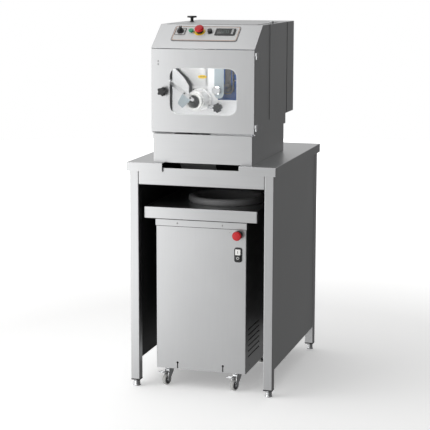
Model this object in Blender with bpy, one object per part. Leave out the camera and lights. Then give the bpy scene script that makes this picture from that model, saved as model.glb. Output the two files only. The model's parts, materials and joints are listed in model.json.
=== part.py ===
"""Dough divider on a stainless work table, with a wheeled dough rounder parked under it.

Metres, +Z up, X to the right, the front at -Y. The origin is the centre of the
tabletop's footprint, on the floor. Dough goes in under the lid, an auger pushes it
out of the nozzle, a turning knife cuts each portion, and the portion drops through
the table into the bowl of the rounder.
"""

import math

import bmesh
import bpy
from mathutils import Matrix, Vector

GAP = 0.0003  # between two pieces that touch
SHEET = 0.0015  # stainless sheet, on every cover
PAST = 0.010  # how far a cutter runs past the face it opens

# Table
TABLE_WIDTH = 0.660
TABLE_FRONT = -0.440
TABLE_DEPTH = 0.880
TABLE_HEIGHT = 0.996
TABLE_BAND = 0.038
NOTCH_WIDTH = 0.338
NOTCH_DEPTH = 0.240
LEG = 0.040
LEG_INSET = 0.011
LEG_FOOT_GAP = 0.028
LEG_CAP = 0.006
LEG_CAP_PROUD = 0.0006
PANEL_RECESS = 0.003
PANEL_CLEARANCE = 0.111
PANEL_FLANGE = 0.018
APRON_BOTTOM = TABLE_HEIGHT - 0.096
APRON_DROP = 0.021
FOOT_DISC = (0.017, 0.004)
FOOT_NECK = 0.015
FOOT_STEM = (0.006, 0.062)

# Head: the plinth, the casing and the door
HEAD_FRONT = TABLE_FRONT + 0.036
HEAD_BACK = 0.158
HEAD_WIDTH = 0.454
PLINTH_WIDTH = 0.438
PLINTH_TOP = TABLE_HEIGHT + 0.1237
DOOR_BOTTOM = TABLE_HEIGHT + 0.13
DOOR_TOP = TABLE_HEIGHT + 0.484
DOOR_DEPTH = 0.0157
CREASE = TABLE_HEIGHT + 0.4865
CASING_TOP = TABLE_HEIGHT + 0.582
SLOPE_TOP = -0.269
DROP_X = (-0.130, 0.030)
DROP_Y = (-0.398, -0.290)
CHUTE_FOOT = (-0.262, TABLE_HEIGHT - 0.066)
CHUTE_HEAD = TABLE_HEIGHT + 0.089
WINDOW_X = (-0.147, 0.151)
WINDOW_Z = (TABLE_HEIGHT + 0.208, TABLE_HEIGHT + 0.406)
WINDOW_CORNER = 0.030
PANE_LAP = 0.013
PANE = 0.003
HOOD_PROUD = 0.003
HOOD_FRONT = -0.1455
HOOD_BACK = 0.297
HOOD_BOTTOM = TABLE_HEIGHT + 0.17
GROOVE = 0.010
GROOVE_DEPTH = 0.0015

# Door hinges and knob
HINGE_X = HEAD_WIDTH / 2 + 0.0065
HINGE_Y = -0.397
HINGE_HEIGHTS = {"upper": TABLE_HEIGHT + 0.458, "lower": TABLE_HEIGHT + 0.157}
HINGE_TALL = 0.028
KNUCKLE = 0.0045
HINGE_PIN = 0.0025
HINGE_LEAF = (-0.386, -0.352)
DOOR_KNOB = (-0.1724, TABLE_HEIGHT + 0.3044)
DOOR_KNOB_RADIUS = 0.0175
DOOR_KNOB_LOBE = 0.0028
DOOR_KNOB_Y = (-0.436, -0.412)
DOOR_SHAFT = 0.004

# Lid
LID_X = (0.022 - HEAD_WIDTH / 2, HEAD_WIDTH / 2 - 0.022)
LID_Y = (-0.255, 0.100)
LID_THICK = 0.002
LID_KNOB = (-0.163, -0.022)
LID_KNOB_CAP = (0.0215, 0.008)
LID_KNOB_STEM = (0.008, 0.018)
LID_HINGE = (HEAD_WIDTH / 2 - 0.014, -0.058)
LID_HINGE_RISE = 0.0055
LID_PIN = 0.002
LID_LUG = 0.010

# Control panel, in the plane of the slope: X, then distance up from the crease
PANEL_X = (-0.155, 0.137)
PANEL_UP = (0.049, 0.151)
PANEL_THICK = 0.003
PANEL_CORNER = 0.010
CONTROL_UP = 0.1095
SWITCH_X = -0.1237
START_X = -0.0749
STOP_X = -0.0376
SPEED_X = 0.0077
SWITCH_PLATE = (0.046, 0.0015)
DISPLAY_X = (0.031, 0.119)
DISPLAY_UP = (0.086, 0.132)
DISPLAY_PROUD = 0.004
START = (0.011, 0.007, 0.004)
STOP = (0.020, 0.010, 0.005)
SPEED = (0.010, 0.0035)
SWITCH = (0.015, 0.005)
BUTTON_RISE = 0.008

# Divider
AUGER = (-0.058, TABLE_HEIGHT + 0.2575)
BARREL_BACK = -0.060
BARREL_FLANGE = (-0.252, -0.240)
BARREL_FRONT = -0.325
BARREL_RADIUS = 0.048
BARREL_BORE = BARREL_RADIUS - 0.004
FLANGE_RADIUS = BARREL_RADIUS + 0.002
CONE_RADIUS = (0.0445, 0.0405)
CONE_BORE = 0.034
NOZZLE = (0.0373, 0.030)
NOZZLE_FRONT = -0.350
NOZZLE_SEAT = 0.010
AUGER_SHAFT = 0.012
AUGER_FLIGHT = BARREL_BORE - 0.002
AUGER_PITCH = 0.052
AUGER_Y = (-0.238, -0.074)
THROAT_X = (-0.100, -0.028)
THROAT_Y = (-0.215, -0.095)
THROAT_TOP = TABLE_HEIGHT + 0.3157
HOPPER_WALL = 0.002
HOPPER_MIDDLE = (TABLE_HEIGHT + 0.404, (-0.185, -0.030), (-0.230, -0.060))
HOPPER_MOUTH = (TABLE_HEIGHT + 0.5695, (-0.205, -0.028), (-0.234, 0.040))
BULKHEAD_Y = -0.237
BULKHEAD_LEFT = 0.041 - HEAD_WIDTH / 2
BULKHEAD_TOP = TABLE_HEIGHT + 0.2585
AUGER_BOX = ((-0.108, -0.008), (-0.055, 0.055), (TABLE_HEIGHT + 0.204, TABLE_HEIGHT + 0.334))
AUGER_MOTOR = (0.058, 0.232)
KNIFE = (0.050, TABLE_HEIGHT + 0.3085)
KNIFE_Y = (-0.3560, -0.3525)
KNIFE_X = (-0.012, 0.030)
KNIFE_Z = (-0.034, 0.155)
KNIFE_SHAFT = 0.009
KNIFE_BOSS = 0.0187
CHAIN_Y = (-0.196, -0.187)
KNIFE_SPROCKET = (0.021, 20)
MOTOR_SPROCKET = (0.0168, 16)
SPROCKET_RISE = 0.130
MOTOR_SHAFT = 0.006
CHAIN_SLACK = 0.0012
CHAIN_THICK = 0.009
KNIFE_BOX = ((-0.022, 0.150), (-0.182, -0.062), (TABLE_HEIGHT + 0.319, TABLE_HEIGHT + 0.484))
KNIFE_BOX_LOW = ((0.000, 0.140), TABLE_HEIGHT + 0.204)
KNIFE_MOTOR = (0.095, TABLE_HEIGHT + 0.379, 0.050, 0.110)
CLAMP = (0.0333, TABLE_HEIGHT + 0.2282)
CLAMP_RADIUS = 0.0185
CLAMP_LOBE = 0.0025
CLAMP_Y = (-0.302, -0.276)
# How far the casing roof laps the hopper's mouth, the cut in its back (side, bottom, top), the hole of
# the clamp's stem and the plate (reach, thickness) that holds the sensing arm's pin.
MOUTH_LAP = 0.006
BACK_OPENING = (0.047, 0.020, 0.030)
CLAMP_HOLE = 0.0058
BRACKET = (0.010, 0.006)
FEELER_PIVOT = (-0.1565, TABLE_HEIGHT + 0.342)
FEELER_TIP = (-0.0514, TABLE_HEIGHT + 0.2664)
FEELER_Y = (-0.372, -0.3685)
FEELER_WIDE = 0.014
FEELER_PLATE_ALONG = (0.074, 0.122)
FEELER_PLATE_DROP = 0.056
FEELER_PIN = 0.0045

# Rounder cart
CART_X = -0.012
CART_WIDTH = 0.405
CART_FRONT = -0.385
CART_BACK = 0.175
WHEEL = (0.025, 0.0085)
CASTOR_HEAD = (0.021, 2 * WHEEL[0] + 0.018)
CART_BOTTOM = CASTOR_HEAD[1] + 0.014
CABINET_TOP = TABLE_HEIGHT - 0.2473
CAP_BOTTOM = CABINET_TOP - 0.0307
CAP_PROUD = 0.003
TRAY_WIDTH = 0.505
TRAY_FRONT = -0.400
TRAY_BACK = 0.240
TRAY_HEIGHT = 0.050
TRAY_RAIL = 0.020
TRAY_RAIL_INSET = 0.010
RAIL_END_INSET = 0.005
BASE_FLANGE = 0.025
KEYHOLES = (-0.1183, 0.0876)
KEYHOLE = (CART_BOTTOM + 0.028, 0.005, 0.0025)
VENT_Y = (-0.345, -0.150)
VENT_ROWS = 6
VENT_FIRST = CART_BOTTOM + 0.065
VENT_STEP = 0.024
VENT_HIGH = 0.006
BOWL = (0.040, -0.155)
BOWL_WALL = (0.137, 0.140)
BOWL_RIM = 0.170
BOWL_RISE = 0.031
BOWL_DEPTH = 0.111
SCREW_DISC = 0.133
SCREW_CONE = (0.052, 0.030)
SCREW_FLIGHT = 0.118
SCREW_SHAFT = 0.010
ROUNDER_BOX = (0.130, 0.104)
ROUNDER_MOTOR = (0.055, 0.220)
CART_STOP = (0.1555, CABINET_TOP - 0.0551, 0.020)
CART_STOP_Y = (-0.4225, -0.4085)
PAIR = (0.1548, CABINET_TOP - 0.1417)
PAIR_SIZE = (0.034, 0.064)
PAIR_KEY = (0.023, 0.025)
PAIR_Y = (-0.3900, -0.3853)
KEY_PROUD = 0.005

# Castors, in a frame with the swivel axis up through the origin
CASTOR_X = 0.155
CASTOR_Y = (-0.345, 0.130)
CASTOR_TURN = -20
CASTOR_PLATE = (0.050, 0.003)
TRAIL = 0.022
AXLE = 0.004
ARM = (WHEEL[1] + 0.002, WHEEL[1] + 0.0045)
PEDAL_PIVOT = (-0.037, 2 * WHEEL[0] + 0.0095)
PEDAL_WIDE = 0.0125

CORNERS = {"front_left": (-1, -1), "front_right": (1, -1), "rear_left": (-1, 1), "rear_right": (1, 1)}


def clear_scene():
    for obj in list(bpy.data.objects):
        bpy.data.objects.remove(obj)


def paint(name, colour, roughness, metallic=0.0, alpha=1.0):
    material = bpy.data.materials.new(name)
    material.use_nodes = True
    shader = material.node_tree.nodes["Principled BSDF"]
    shader.inputs["Base Color"].default_value = (*colour, 1.0)
    shader.inputs["Roughness"].default_value = roughness
    shader.inputs["Metallic"].default_value = metallic
    shader.inputs["Alpha"].default_value = alpha
    return material


# ---- shapes, all added to a bmesh ----

def block(bm, low, high):
    made = bmesh.ops.create_cube(bm, size=1.0)["verts"]
    low, high = Vector(low), Vector(high)
    bmesh.ops.scale(bm, vec=high - low, verts=made)
    bmesh.ops.translate(bm, vec=(low + high) / 2, verts=made)


def place(bm, made, start, axis):
    """Turns the local Z of the new points to the axis, then moves their origin to start."""
    turn = Vector((0, 0, 1)).rotation_difference(Vector(axis)).to_matrix().to_4x4()
    bmesh.ops.transform(bm, matrix=Matrix.Translation(start) @ turn, verts=made)


def turned(bm, profile, start=(0, 0, 0), axis=(0, 0, 1), sides=16):
    """Revolves (radius, height) points round the axis. They run from axis to axis, or make a loop."""
    rings = []
    for radius, height in profile:
        count = sides if radius > 0 else 1
        steps = [2 * math.pi * k / sides for k in range(count)]
        rings.append([bm.verts.new((radius * math.cos(a), radius * math.sin(a), height)) for a in steps])
    loop = profile[0][0] > 0
    pairs = list(zip(rings, rings[1:] + rings[:1])) if loop else list(zip(rings, rings[1:]))
    faces = []
    for low, high in pairs:
        for k in range(sides):
            corners = [low[k % len(low)], low[(k + 1) % len(low)], high[(k + 1) % len(high)],
                       high[k % len(high)]]
            faces.append(bm.faces.new(list(dict.fromkeys(corners))))
    bmesh.ops.recalc_face_normals(bm, faces=faces)
    place(bm, [point for ring in rings for point in ring], start, axis)


def rod(bm, radius, start, end, sides=16):
    length = (Vector(end) - Vector(start)).length
    profile = [(0, 0), (radius, 0), (radius, length), (0, length)]
    turned(bm, profile, start, Vector(end) - Vector(start), sides)


def prism(bm, outline, low, high, along="Y"):
    """Extrudes an outline from low to high. Along Y it is given in X and Z, along X in Y and Z."""
    def point(pair, depth):
        if along == "Y":
            return (pair[0], depth, pair[1])
        return (depth, pair[0], pair[1]) if along == "X" else (pair[0], pair[1], depth)
    ends = [[bm.verts.new(point(pair, depth)) for pair in outline] for depth in (low, high)]
    count = len(outline)
    faces = [bm.faces.new(end) for end in ends]
    for k in range(count):
        nxt = (k + 1) % count
        faces.append(bm.faces.new((ends[0][k], ends[0][nxt], ends[1][nxt], ends[1][k])))
    bmesh.ops.recalc_face_normals(bm, faces=faces)


def helix(bm, inner, outer, thick, low, high, pitch, steps=14):
    """A screw flight round the local Z, as one closed ribbon."""
    count = round((high - low) / pitch * steps)
    rings = []
    for k in range(count + 1):
        angle = 2 * math.pi * k / steps
        height = low + (high - low) * k / count
        c, s = math.cos(angle), math.sin(angle)
        corners = ((inner, -1), (outer, -1), (outer, 1), (inner, 1))
        rings.append([bm.verts.new((r * c, r * s, height + side * thick / 2)) for r, side in corners])
    faces = [bm.faces.new(rings[0]), bm.faces.new(rings[-1])]
    for first, second in zip(rings, rings[1:]):
        for k in range(4):
            nxt = (k + 1) % 4
            faces.append(bm.faces.new((first[k], first[nxt], second[nxt], second[k])))
    bmesh.ops.recalc_face_normals(bm, faces=faces)
    return [point for ring in rings for point in ring]


def arc(centre, radius, start, end, steps):
    """Points on an arc, in degrees from start to end."""
    angles = [math.radians(start + (end - start) * k / steps) for k in range(steps + 1)]
    return [(centre[0] + radius * math.cos(a), centre[1] + radius * math.sin(a)) for a in angles]


def rounded(x, z, corner, steps=4):
    """A rectangle with round corners, as an outline."""
    points = []
    for centre, start in (((x[1], z[1]), 0), ((x[0], z[1]), 90), ((x[0], z[0]), 180), ((x[1], z[0]), 270)):
        inward = (centre[0] - math.copysign(corner, centre[0] - sum(x) / 2),
                  centre[1] - math.copysign(corner, centre[1] - sum(z) / 2))
        points += arc(inward, corner, start, start + 90, steps)
    return points


def lobed(centre, radius, lobe, lobes, steps=6):
    """A star-knob outline: a circle with the given number of soft lobes."""
    points = []
    for k in range(lobes * steps):
        angle = 2 * math.pi * k / (lobes * steps)
        r = radius + lobe * math.cos(lobes * angle)
        points.append((centre[0] + r * math.cos(angle), centre[1] + r * math.sin(angle)))
    return points


def wrap(low, low_radius, high, high_radius, steps=7):
    """The outline of a band drawn tight round two circles, the second above the first."""
    run = Vector(high) - Vector(low)
    tilt = math.degrees(math.asin((low_radius - high_radius) / run.length))
    up = math.degrees(math.atan2(run.y, run.x))
    upper = arc(high, high_radius, up - 90 + tilt, up + 90 - tilt, steps)
    lower = arc(low, low_radius, up + 90 - tilt, up + 270 + tilt, steps)
    return upper + lower


# ---- objects ----

def keep(name, bm, material, pivot=(0, 0, 0), parent=None):
    """Makes the object, with its origin at pivot. Points are given in the parent's frame."""
    bmesh.ops.translate(bm, vec=-Vector(pivot), verts=bm.verts)
    mesh = bpy.data.meshes.new(name)
    bm.to_mesh(mesh)
    bm.free()
    mesh.materials.append(material)
    mesh.shade_smooth()
    mesh.set_sharp_from_angle(angle=math.radians(35))
    obj = bpy.data.objects.new(name, mesh)
    bpy.context.scene.collection.objects.link(obj)
    obj.location = pivot
    obj.parent = parent
    return obj


def combine(obj, operation, *shapes):
    """Cuts each shape from the object, or joins each one to it. A shape is a function that fills a bmesh."""
    for shape in shapes:
        bm = bmesh.new()
        shape(bm)
        label = f"{obj.name}_{operation.lower()}_{len(obj.modifiers)}"
        tool = keep(label, bm, obj.data.materials[0], parent=obj.parent)
        tool.hide_render = True
        tool.display_type = "WIRE"
        modifier = obj.modifiers.new(label, "BOOLEAN")
        modifier.operation = operation
        modifier.object = tool


def cut(obj, *shapes):
    combine(obj, "DIFFERENCE", *shapes)


def weld(obj, *shapes):
    combine(obj, "UNION", *shapes)


def make(name, material, *shapes, pivot=(0, 0, 0), parent=None):
    """The first shape is the object's own mesh, and the others are welded to it."""
    bm = bmesh.new()
    shapes[0](bm)
    obj = keep(name, bm, material, pivot, parent)
    weld(obj, *shapes[1:])
    return obj


def brick(low, high):
    return lambda bm: block(bm, low, high)


def bar(radius, start, end, sides=16):
    return lambda bm: rod(bm, radius, start, end, sides)


def slab(outline, low, high, along="Y"):
    return lambda bm: prism(bm, outline, low, high, along)


def spun(profile, start, axis, sides=16):
    return lambda bm: turned(bm, profile, start, axis, sides)


def frame_at(name, matrix):
    empty = bpy.data.objects.new(name, None)
    bpy.context.scene.collection.objects.link(empty)
    empty.matrix_world = matrix
    return empty


# ---- table ----

def tabletop(steel):
    x, front, back = TABLE_WIDTH / 2, TABLE_FRONT, TABLE_FRONT + TABLE_DEPTH
    low, half = TABLE_HEIGHT - TABLE_BAND, NOTCH_WIDTH / 2
    top = make("tabletop", steel, brick((-x, front, low), (x, back, TABLE_HEIGHT)))
    inner = (SHEET - x, front + SHEET, low - PAST), (x - SHEET, back - SHEET, TABLE_HEIGHT - SHEET)
    notch = (-half, front - PAST, low - PAST), (half, front + NOTCH_DEPTH, TABLE_HEIGHT + PAST)
    cut(top, brick(*inner), brick(*notch))


def leg_centre(side, end):
    inset = LEG_INSET + LEG / 2
    y = TABLE_FRONT + inset if end < 0 else TABLE_FRONT + TABLE_DEPTH - inset
    return side * (TABLE_WIDTH / 2 - inset), y


def leg_and_foot(label, side, end, steel):
    x, y = leg_centre(side, end)
    half, top = LEG / 2, TABLE_HEIGHT - SHEET - GAP
    cap, cap_top = half + LEG_CAP_PROUD, LEG_FOOT_GAP + LEG_CAP
    leg = make("leg_" + label, steel, brick((x - half, y - half, LEG_FOOT_GAP + GAP),
                                            (x + half, y + half, top)),
               brick((x - cap, y - cap, LEG_FOOT_GAP), (x + cap, y + cap, cap_top)))
    bore = half - SHEET
    cut(leg, brick((x - bore, y - bore, cap_top), (x + bore, y + bore, top + PAST)),
        bar(FOOT_STEM[0] + GAP, (x, y, 0), (x, y, cap_top + PAST)))
    neck = LEG_FOOT_GAP - GAP
    profile = [(0, 0), (FOOT_DISC[0], 0), (FOOT_DISC[0], FOOT_DISC[1]), (FOOT_NECK, FOOT_DISC[1] + 0.001),
               (FOOT_NECK, neck), (FOOT_STEM[0], neck), (FOOT_STEM[0], FOOT_STEM[1]), (0, FOOT_STEM[1])]
    make("foot_" + label, steel, spun(profile, (x, y, 0), (0, 0, 1), 12), pivot=(x, y, 0))


def table_skirts(steel):
    leg_x, back_y = leg_centre(1, 1)
    front_y = leg_centre(1, -1)[1]
    bay_x = leg_x - LEG / 2 - GAP
    bay_y = (front_y + LEG / 2 + GAP, back_y - LEG / 2 - GAP)
    outer_x = leg_x + LEG / 2 - PANEL_RECESS
    top = TABLE_HEIGHT - SHEET - GAP
    for label, side in (("left", -1), ("right", 1)):
        edge = sorted((side * outer_x, side * (outer_x - PANEL_FLANGE)))
        panel = make("side_panel_" + label, steel, brick((edge[0], bay_y[0], PANEL_CLEARANCE),
                                                         (edge[1], bay_y[1], top)))
        hollow = sorted((side * (outer_x - SHEET), side * (outer_x - PANEL_FLANGE - PAST)))
        cut(panel, brick((hollow[0], bay_y[0] - PAST, PANEL_CLEARANCE + SHEET),
                         (hollow[1], bay_y[1] + PAST, top - SHEET)))
    back = back_y + LEG / 2 - PANEL_RECESS
    rear = make("rear_panel", steel, brick((-bay_x, back - PANEL_FLANGE, PANEL_CLEARANCE),
                                           (bay_x, back, top)))
    cut(rear, brick((-bay_x - PAST, back - PANEL_FLANGE - PAST, PANEL_CLEARANCE + SHEET),
                    (bay_x + PAST, back - SHEET, top - SHEET)))
    front, high = front_y - LEG / 2, TABLE_HEIGHT - APRON_DROP
    inside = front + PANEL_FLANGE
    apron = make("apron_front", steel, brick((-bay_x, front, APRON_BOTTOM), (bay_x, inside, high)))
    cut(apron, brick((-bay_x - PAST, front + SHEET, APRON_BOTTOM + SHEET),
                     (bay_x + PAST, inside + PAST, high + PAST)))


# ---- head: covers ----

def plinth(steel):
    x, low = PLINTH_WIDTH / 2, TABLE_HEIGHT + GAP
    base = make("plinth", steel, brick((-x, HEAD_FRONT, low), (x, HEAD_BACK, PLINTH_TOP)))
    cut(base, brick((SHEET - x, HEAD_FRONT + SHEET, low - PAST),
                    (x - SHEET, HEAD_BACK - SHEET, PLINTH_TOP - SHEET)),
        brick((DROP_X[0], DROP_Y[0], PLINTH_TOP - PAST), (DROP_X[1], DROP_Y[1], PLINTH_TOP + PAST)))
    foot, head = CHUTE_FOOT, CHUTE_HEAD
    front = HEAD_FRONT + SHEET / 2
    outline = [(front, head), (foot[0], foot[1]), (foot[0], foot[1] + 2 * SHEET), (front, head + 2 * SHEET)]
    weld(base, slab(outline, DROP_X[0], DROP_X[1], "X"))


def slope_frame():
    """A frame on the sloped front: X across, Y up the slope from the crease, Z out of it."""
    up = Vector((0, SLOPE_TOP - HEAD_FRONT, CASING_TOP - CREASE)).normalized()
    matrix = Matrix.Translation((0, HEAD_FRONT, CREASE))
    matrix.col[1][:3] = up
    matrix.col[2][:3] = Vector((1, 0, 0)).cross(up)
    return frame_at("slope_frame", matrix)


def casing(steel, slope):
    x, low = HEAD_WIDTH / 2, PLINTH_TOP + GAP
    mouth = HEAD_FRONT + DOOR_DEPTH + GAP
    lip = DOOR_TOP + SHEET
    outer = [(mouth, low), (mouth, lip), (HEAD_FRONT, lip), (HEAD_FRONT, CREASE), (SLOPE_TOP, CASING_TOP),
             (HEAD_BACK, CASING_TOP), (HEAD_BACK, low)]
    shell = make("casing", steel, slab(outer, -x, x, "X"))
    rise = math.atan2(CASING_TOP - CREASE, SLOPE_TOP - HEAD_FRONT)
    shift_y, shift_z = SHEET * math.sin(rise), SHEET * math.cos(rise)
    inner = [(mouth - PAST, low + SHEET), (mouth - PAST, lip - PAST), (HEAD_FRONT + shift_y, lip - PAST),
             (HEAD_FRONT + shift_y, CREASE - shift_z), (SLOPE_TOP + shift_y / 2, CASING_TOP - SHEET),
             (HEAD_BACK - SHEET, CASING_TOP - SHEET), (HEAD_BACK - SHEET, low + SHEET)]
    cut(shell, slab(inner, SHEET - x, x - SHEET, "X"),
        brick((DROP_X[0], DROP_Y[0], low - PAST), (DROP_X[1], DROP_Y[1], low + PAST)))
    mouth_x, mouth_y = HOPPER_MOUTH[1], HOPPER_MOUTH[2]
    cut(shell, brick((mouth_x[0] + MOUTH_LAP, mouth_y[0] + MOUTH_LAP, CASING_TOP - PAST),
                     (mouth_x[1] - MOUTH_LAP, mouth_y[1] - MOUTH_LAP, CASING_TOP + PAST)),
        brick((BACK_OPENING[0] - x, HEAD_BACK - PAST, HOOD_BOTTOM + BACK_OPENING[1]),
              (x - BACK_OPENING[0], HEAD_BACK + PAST, CASING_TOP - BACK_OPENING[2])))
    weld(shell, brick((BULKHEAD_LEFT, BULKHEAD_Y - SHEET, low + SHEET / 2),
                      (x - SHEET / 2, BULKHEAD_Y, BULKHEAD_TOP)))
    hole = BARREL_RADIUS + GAP
    cut(shell, bar(hole, (AUGER[0], BULKHEAD_Y - PAST, AUGER[1]), (AUGER[0], BULKHEAD_Y + PAST, AUGER[1]),
                   24),
        bar(CLAMP_HOLE, (CLAMP[0], BULKHEAD_Y - PAST, CLAMP[1]), (CLAMP[0], BULKHEAD_Y + PAST, CLAMP[1]), 16))
    bracket = (FEELER_Y[1] + GAP, FEELER_Y[1] + BRACKET[1])
    weld(shell, brick((-x + SHEET / 2, bracket[0], FEELER_PIVOT[1] - BRACKET[0]),
                      (FEELER_PIVOT[0] + BRACKET[0], bracket[1], FEELER_PIVOT[1] + BRACKET[0])))
    cut(shell, bar(FEELER_PIN + GAP, (FEELER_PIVOT[0], bracket[0] - PAST, FEELER_PIVOT[1]),
                   (FEELER_PIVOT[0], bracket[1] + PAST, FEELER_PIVOT[1]), 20))
    lid_axis = CASING_TOP + LID_HINGE_RISE
    for side in (-1, 1):
        near, far = sorted((LID_HINGE[1] + side * LID_LUG, LID_HINGE[1] + side * 2 * LID_LUG))
        weld(shell, brick((LID_HINGE[0] - 0.004, near, CASING_TOP - SHEET / 2),
                          (LID_HINGE[0] + 0.004, far, lid_axis + 0.0045)))
    cut(shell, bar(LID_PIN + GAP, (LID_HINGE[0], LID_HINGE[1] - 3 * LID_LUG, lid_axis),
                   (LID_HINGE[0], LID_HINGE[1] + 3 * LID_LUG, lid_axis), 16))
    margin = 0.010
    wide = brick((PANEL_X[0] + margin, PANEL_UP[0] + margin, -PAST),
                 (PANEL_X[1] - margin, PANEL_UP[1] - margin, PAST))
    bm = bmesh.new()
    wide(bm)
    tool = keep("casing_panel_opening", bm, steel, parent=slope)
    tool.hide_render = True
    tool.display_type = "WIRE"
    modifier = shell.modifiers.new("panel_opening", "BOOLEAN")
    modifier.operation = "DIFFERENCE"
    modifier.object = tool


def rear_hood(steel):
    inner = HEAD_WIDTH / 2 + GAP
    x = HEAD_WIDTH / 2 + HOOD_PROUD
    back, top = HEAD_BACK + GAP, CASING_TOP
    hood = make("rear_hood", steel, brick((-x, HOOD_FRONT, HOOD_BOTTOM), (x, HOOD_BACK, top)))
    cut(hood, brick((-inner, HOOD_FRONT - PAST, HOOD_BOTTOM - PAST), (inner, back, top + PAST)),
        brick((-inner, back - PAST, HOOD_BOTTOM + SHEET), (inner, HOOD_BACK - SHEET, top - SHEET)))
    for side in (-1, 1):
        edge = sorted((side * (x - GROOVE_DEPTH), side * (x + PAST)))
        cut(hood, brick((edge[0], HEAD_BACK, HOOD_BOTTOM - PAST), (edge[1], HEAD_BACK + GROOVE, top + PAST)))


# ---- head: door and lid ----

def door(steel, pane_material):
    x = HEAD_WIDTH / 2
    back = HEAD_FRONT + DOOR_DEPTH
    leaf = make("door", steel, brick((-x, HEAD_FRONT, DOOR_BOTTOM), (x, back, DOOR_TOP)),
                pivot=(HINGE_X, HINGE_Y, DOOR_BOTTOM))
    cut(leaf, brick((SHEET - x, HEAD_FRONT + SHEET, DOOR_BOTTOM + SHEET),
                    (x - SHEET, back + PAST, DOOR_TOP - SHEET)),
        slab(rounded(WINDOW_X, WINDOW_Z, WINDOW_CORNER), HEAD_FRONT - PAST, HEAD_FRONT + PAST / 2),
        bar(DOOR_SHAFT + GAP, (DOOR_KNOB[0], HEAD_FRONT - PAST, DOOR_KNOB[1]),
            (DOOR_KNOB[0], HEAD_FRONT + PAST / 2, DOOR_KNOB[1]), 16))
    for height in HINGE_HEIGHTS.values():
        low, high = height + GAP, height + HINGE_TALL / 2
        weld(leaf, brick((x - SHEET / 2, HINGE_Y - KNUCKLE, low), (HINGE_X, HINGE_Y - 0.0015, high)),
             bar(KNUCKLE, (HINGE_X, HINGE_Y, low), (HINGE_X, HINGE_Y, high), 16))
        cut(leaf, bar(HINGE_PIN + GAP, (HINGE_X, HINGE_Y, low - PAST), (HINGE_X, HINGE_Y, high + PAST), 16))
    pane_x = (WINDOW_X[0] - PANE_LAP, WINDOW_X[1] + PANE_LAP)
    pane_z = (WINDOW_Z[0] - PANE_LAP, WINDOW_Z[1] + PANE_LAP)
    front = HEAD_FRONT + SHEET + GAP
    pane_corner = WINDOW_CORNER + PANE_LAP
    make("door_window", pane_material, slab(rounded(pane_x, pane_z, pane_corner), front, front + PANE))


def door_hinge(label, height, chrome):
    low, high = height - HINGE_TALL / 2, height - GAP
    face = HEAD_WIDTH / 2 + GAP
    leaf = make("door_hinge_" + label, chrome,
                brick((face, HINGE_LEAF[0], low), (face + SHEET, HINGE_LEAF[1], height + HINGE_TALL / 2)),
                brick((face, HINGE_Y + 0.0005, low), (HINGE_X, HINGE_LEAF[0] + 0.001, high)),
                bar(KNUCKLE, (HINGE_X, HINGE_Y, low), (HINGE_X, HINGE_Y, high), 16),
                bar(HINGE_PIN, (HINGE_X, HINGE_Y, low + 0.001), (HINGE_X, HINGE_Y, height + HINGE_TALL / 2),
                    16))
    return leaf


def door_knob(black):
    x, z = DOOR_KNOB
    star = lobed((x, z), DOOR_KNOB_RADIUS, DOOR_KNOB_LOBE, 5)
    tongue_y = HEAD_FRONT + DOOR_DEPTH + 0.0013
    make("door_knob", black, slab(star, DOOR_KNOB_Y[0], DOOR_KNOB_Y[1]),
         bar(0.008, (x, DOOR_KNOB_Y[1] - 0.001, z), (x, HEAD_FRONT - GAP, z), 16),
         bar(DOOR_SHAFT, (x, DOOR_KNOB_Y[1] - 0.002, z), (x, tongue_y + 0.002, z), 16),
         brick((x - 0.030, tongue_y, z - 0.007), (x + 0.008, tongue_y + 0.003, z + 0.007)),
         pivot=(x, DOOR_KNOB_Y[1], z))


def lid(steel):
    low = CASING_TOP + GAP
    axis_z = CASING_TOP + LID_HINGE_RISE
    x, y = LID_KNOB
    stem, cap = LID_KNOB_STEM, LID_KNOB_CAP
    top = low + LID_THICK
    profile = [(0, -LID_THICK / 2), (stem[0], -LID_THICK / 2), (stem[0], stem[1]), (cap[0], stem[1] + 0.001),
               (cap[0], stem[1] + cap[1] - 0.002), (cap[0] - 0.003, stem[1] + cap[1]), (0, stem[1] + cap[1])]
    half = LID_LUG - GAP
    make("lid", steel, brick((LID_X[0], LID_Y[0], low), (LID_X[1], LID_Y[1], top)),
         spun(profile, (x, y, top), (0, 0, 1)),
         brick((LID_X[1] - 0.004, LID_HINGE[1] - half, low + GAP),
               (LID_HINGE[0], LID_HINGE[1] + half, axis_z)),
         bar(0.0042, (LID_HINGE[0], LID_HINGE[1] - half, axis_z), (LID_HINGE[0], LID_HINGE[1] + half, axis_z),
             16),
         bar(LID_PIN, (LID_HINGE[0], LID_HINGE[1] - 2 * LID_LUG, axis_z),
             (LID_HINGE[0], LID_HINGE[1] + 2 * LID_LUG, axis_z), 16),
         pivot=(LID_HINGE[0], LID_HINGE[1], axis_z))


# ---- head: controls, in the slope's frame ----

def control_panel(white, slope):
    plate = slab(rounded(PANEL_X, PANEL_UP, PANEL_CORNER), GAP, PANEL_THICK, "Z")
    panel = make("control_panel", white, plate, parent=slope)
    half, proud = SWITCH_PLATE[0] / 2, SWITCH_PLATE[1]
    weld(panel, brick((SWITCH_X - half, CONTROL_UP - half, PANEL_THICK / 2),
                      (SWITCH_X + half, CONTROL_UP + half, PANEL_THICK + proud)),
         brick((DISPLAY_X[0], DISPLAY_UP[0], PANEL_THICK / 2),
               (DISPLAY_X[1], DISPLAY_UP[1], PANEL_THICK + DISPLAY_PROUD)))
    for x, radius in ((SWITCH_X, SWITCH[1]), (START_X, START[1]), (STOP_X, STOP[1]), (SPEED_X, SPEED[1])):
        cut(panel, bar(radius + 0.0005, (x, CONTROL_UP, -PAST), (x, CONTROL_UP, PAST), 20))


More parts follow.
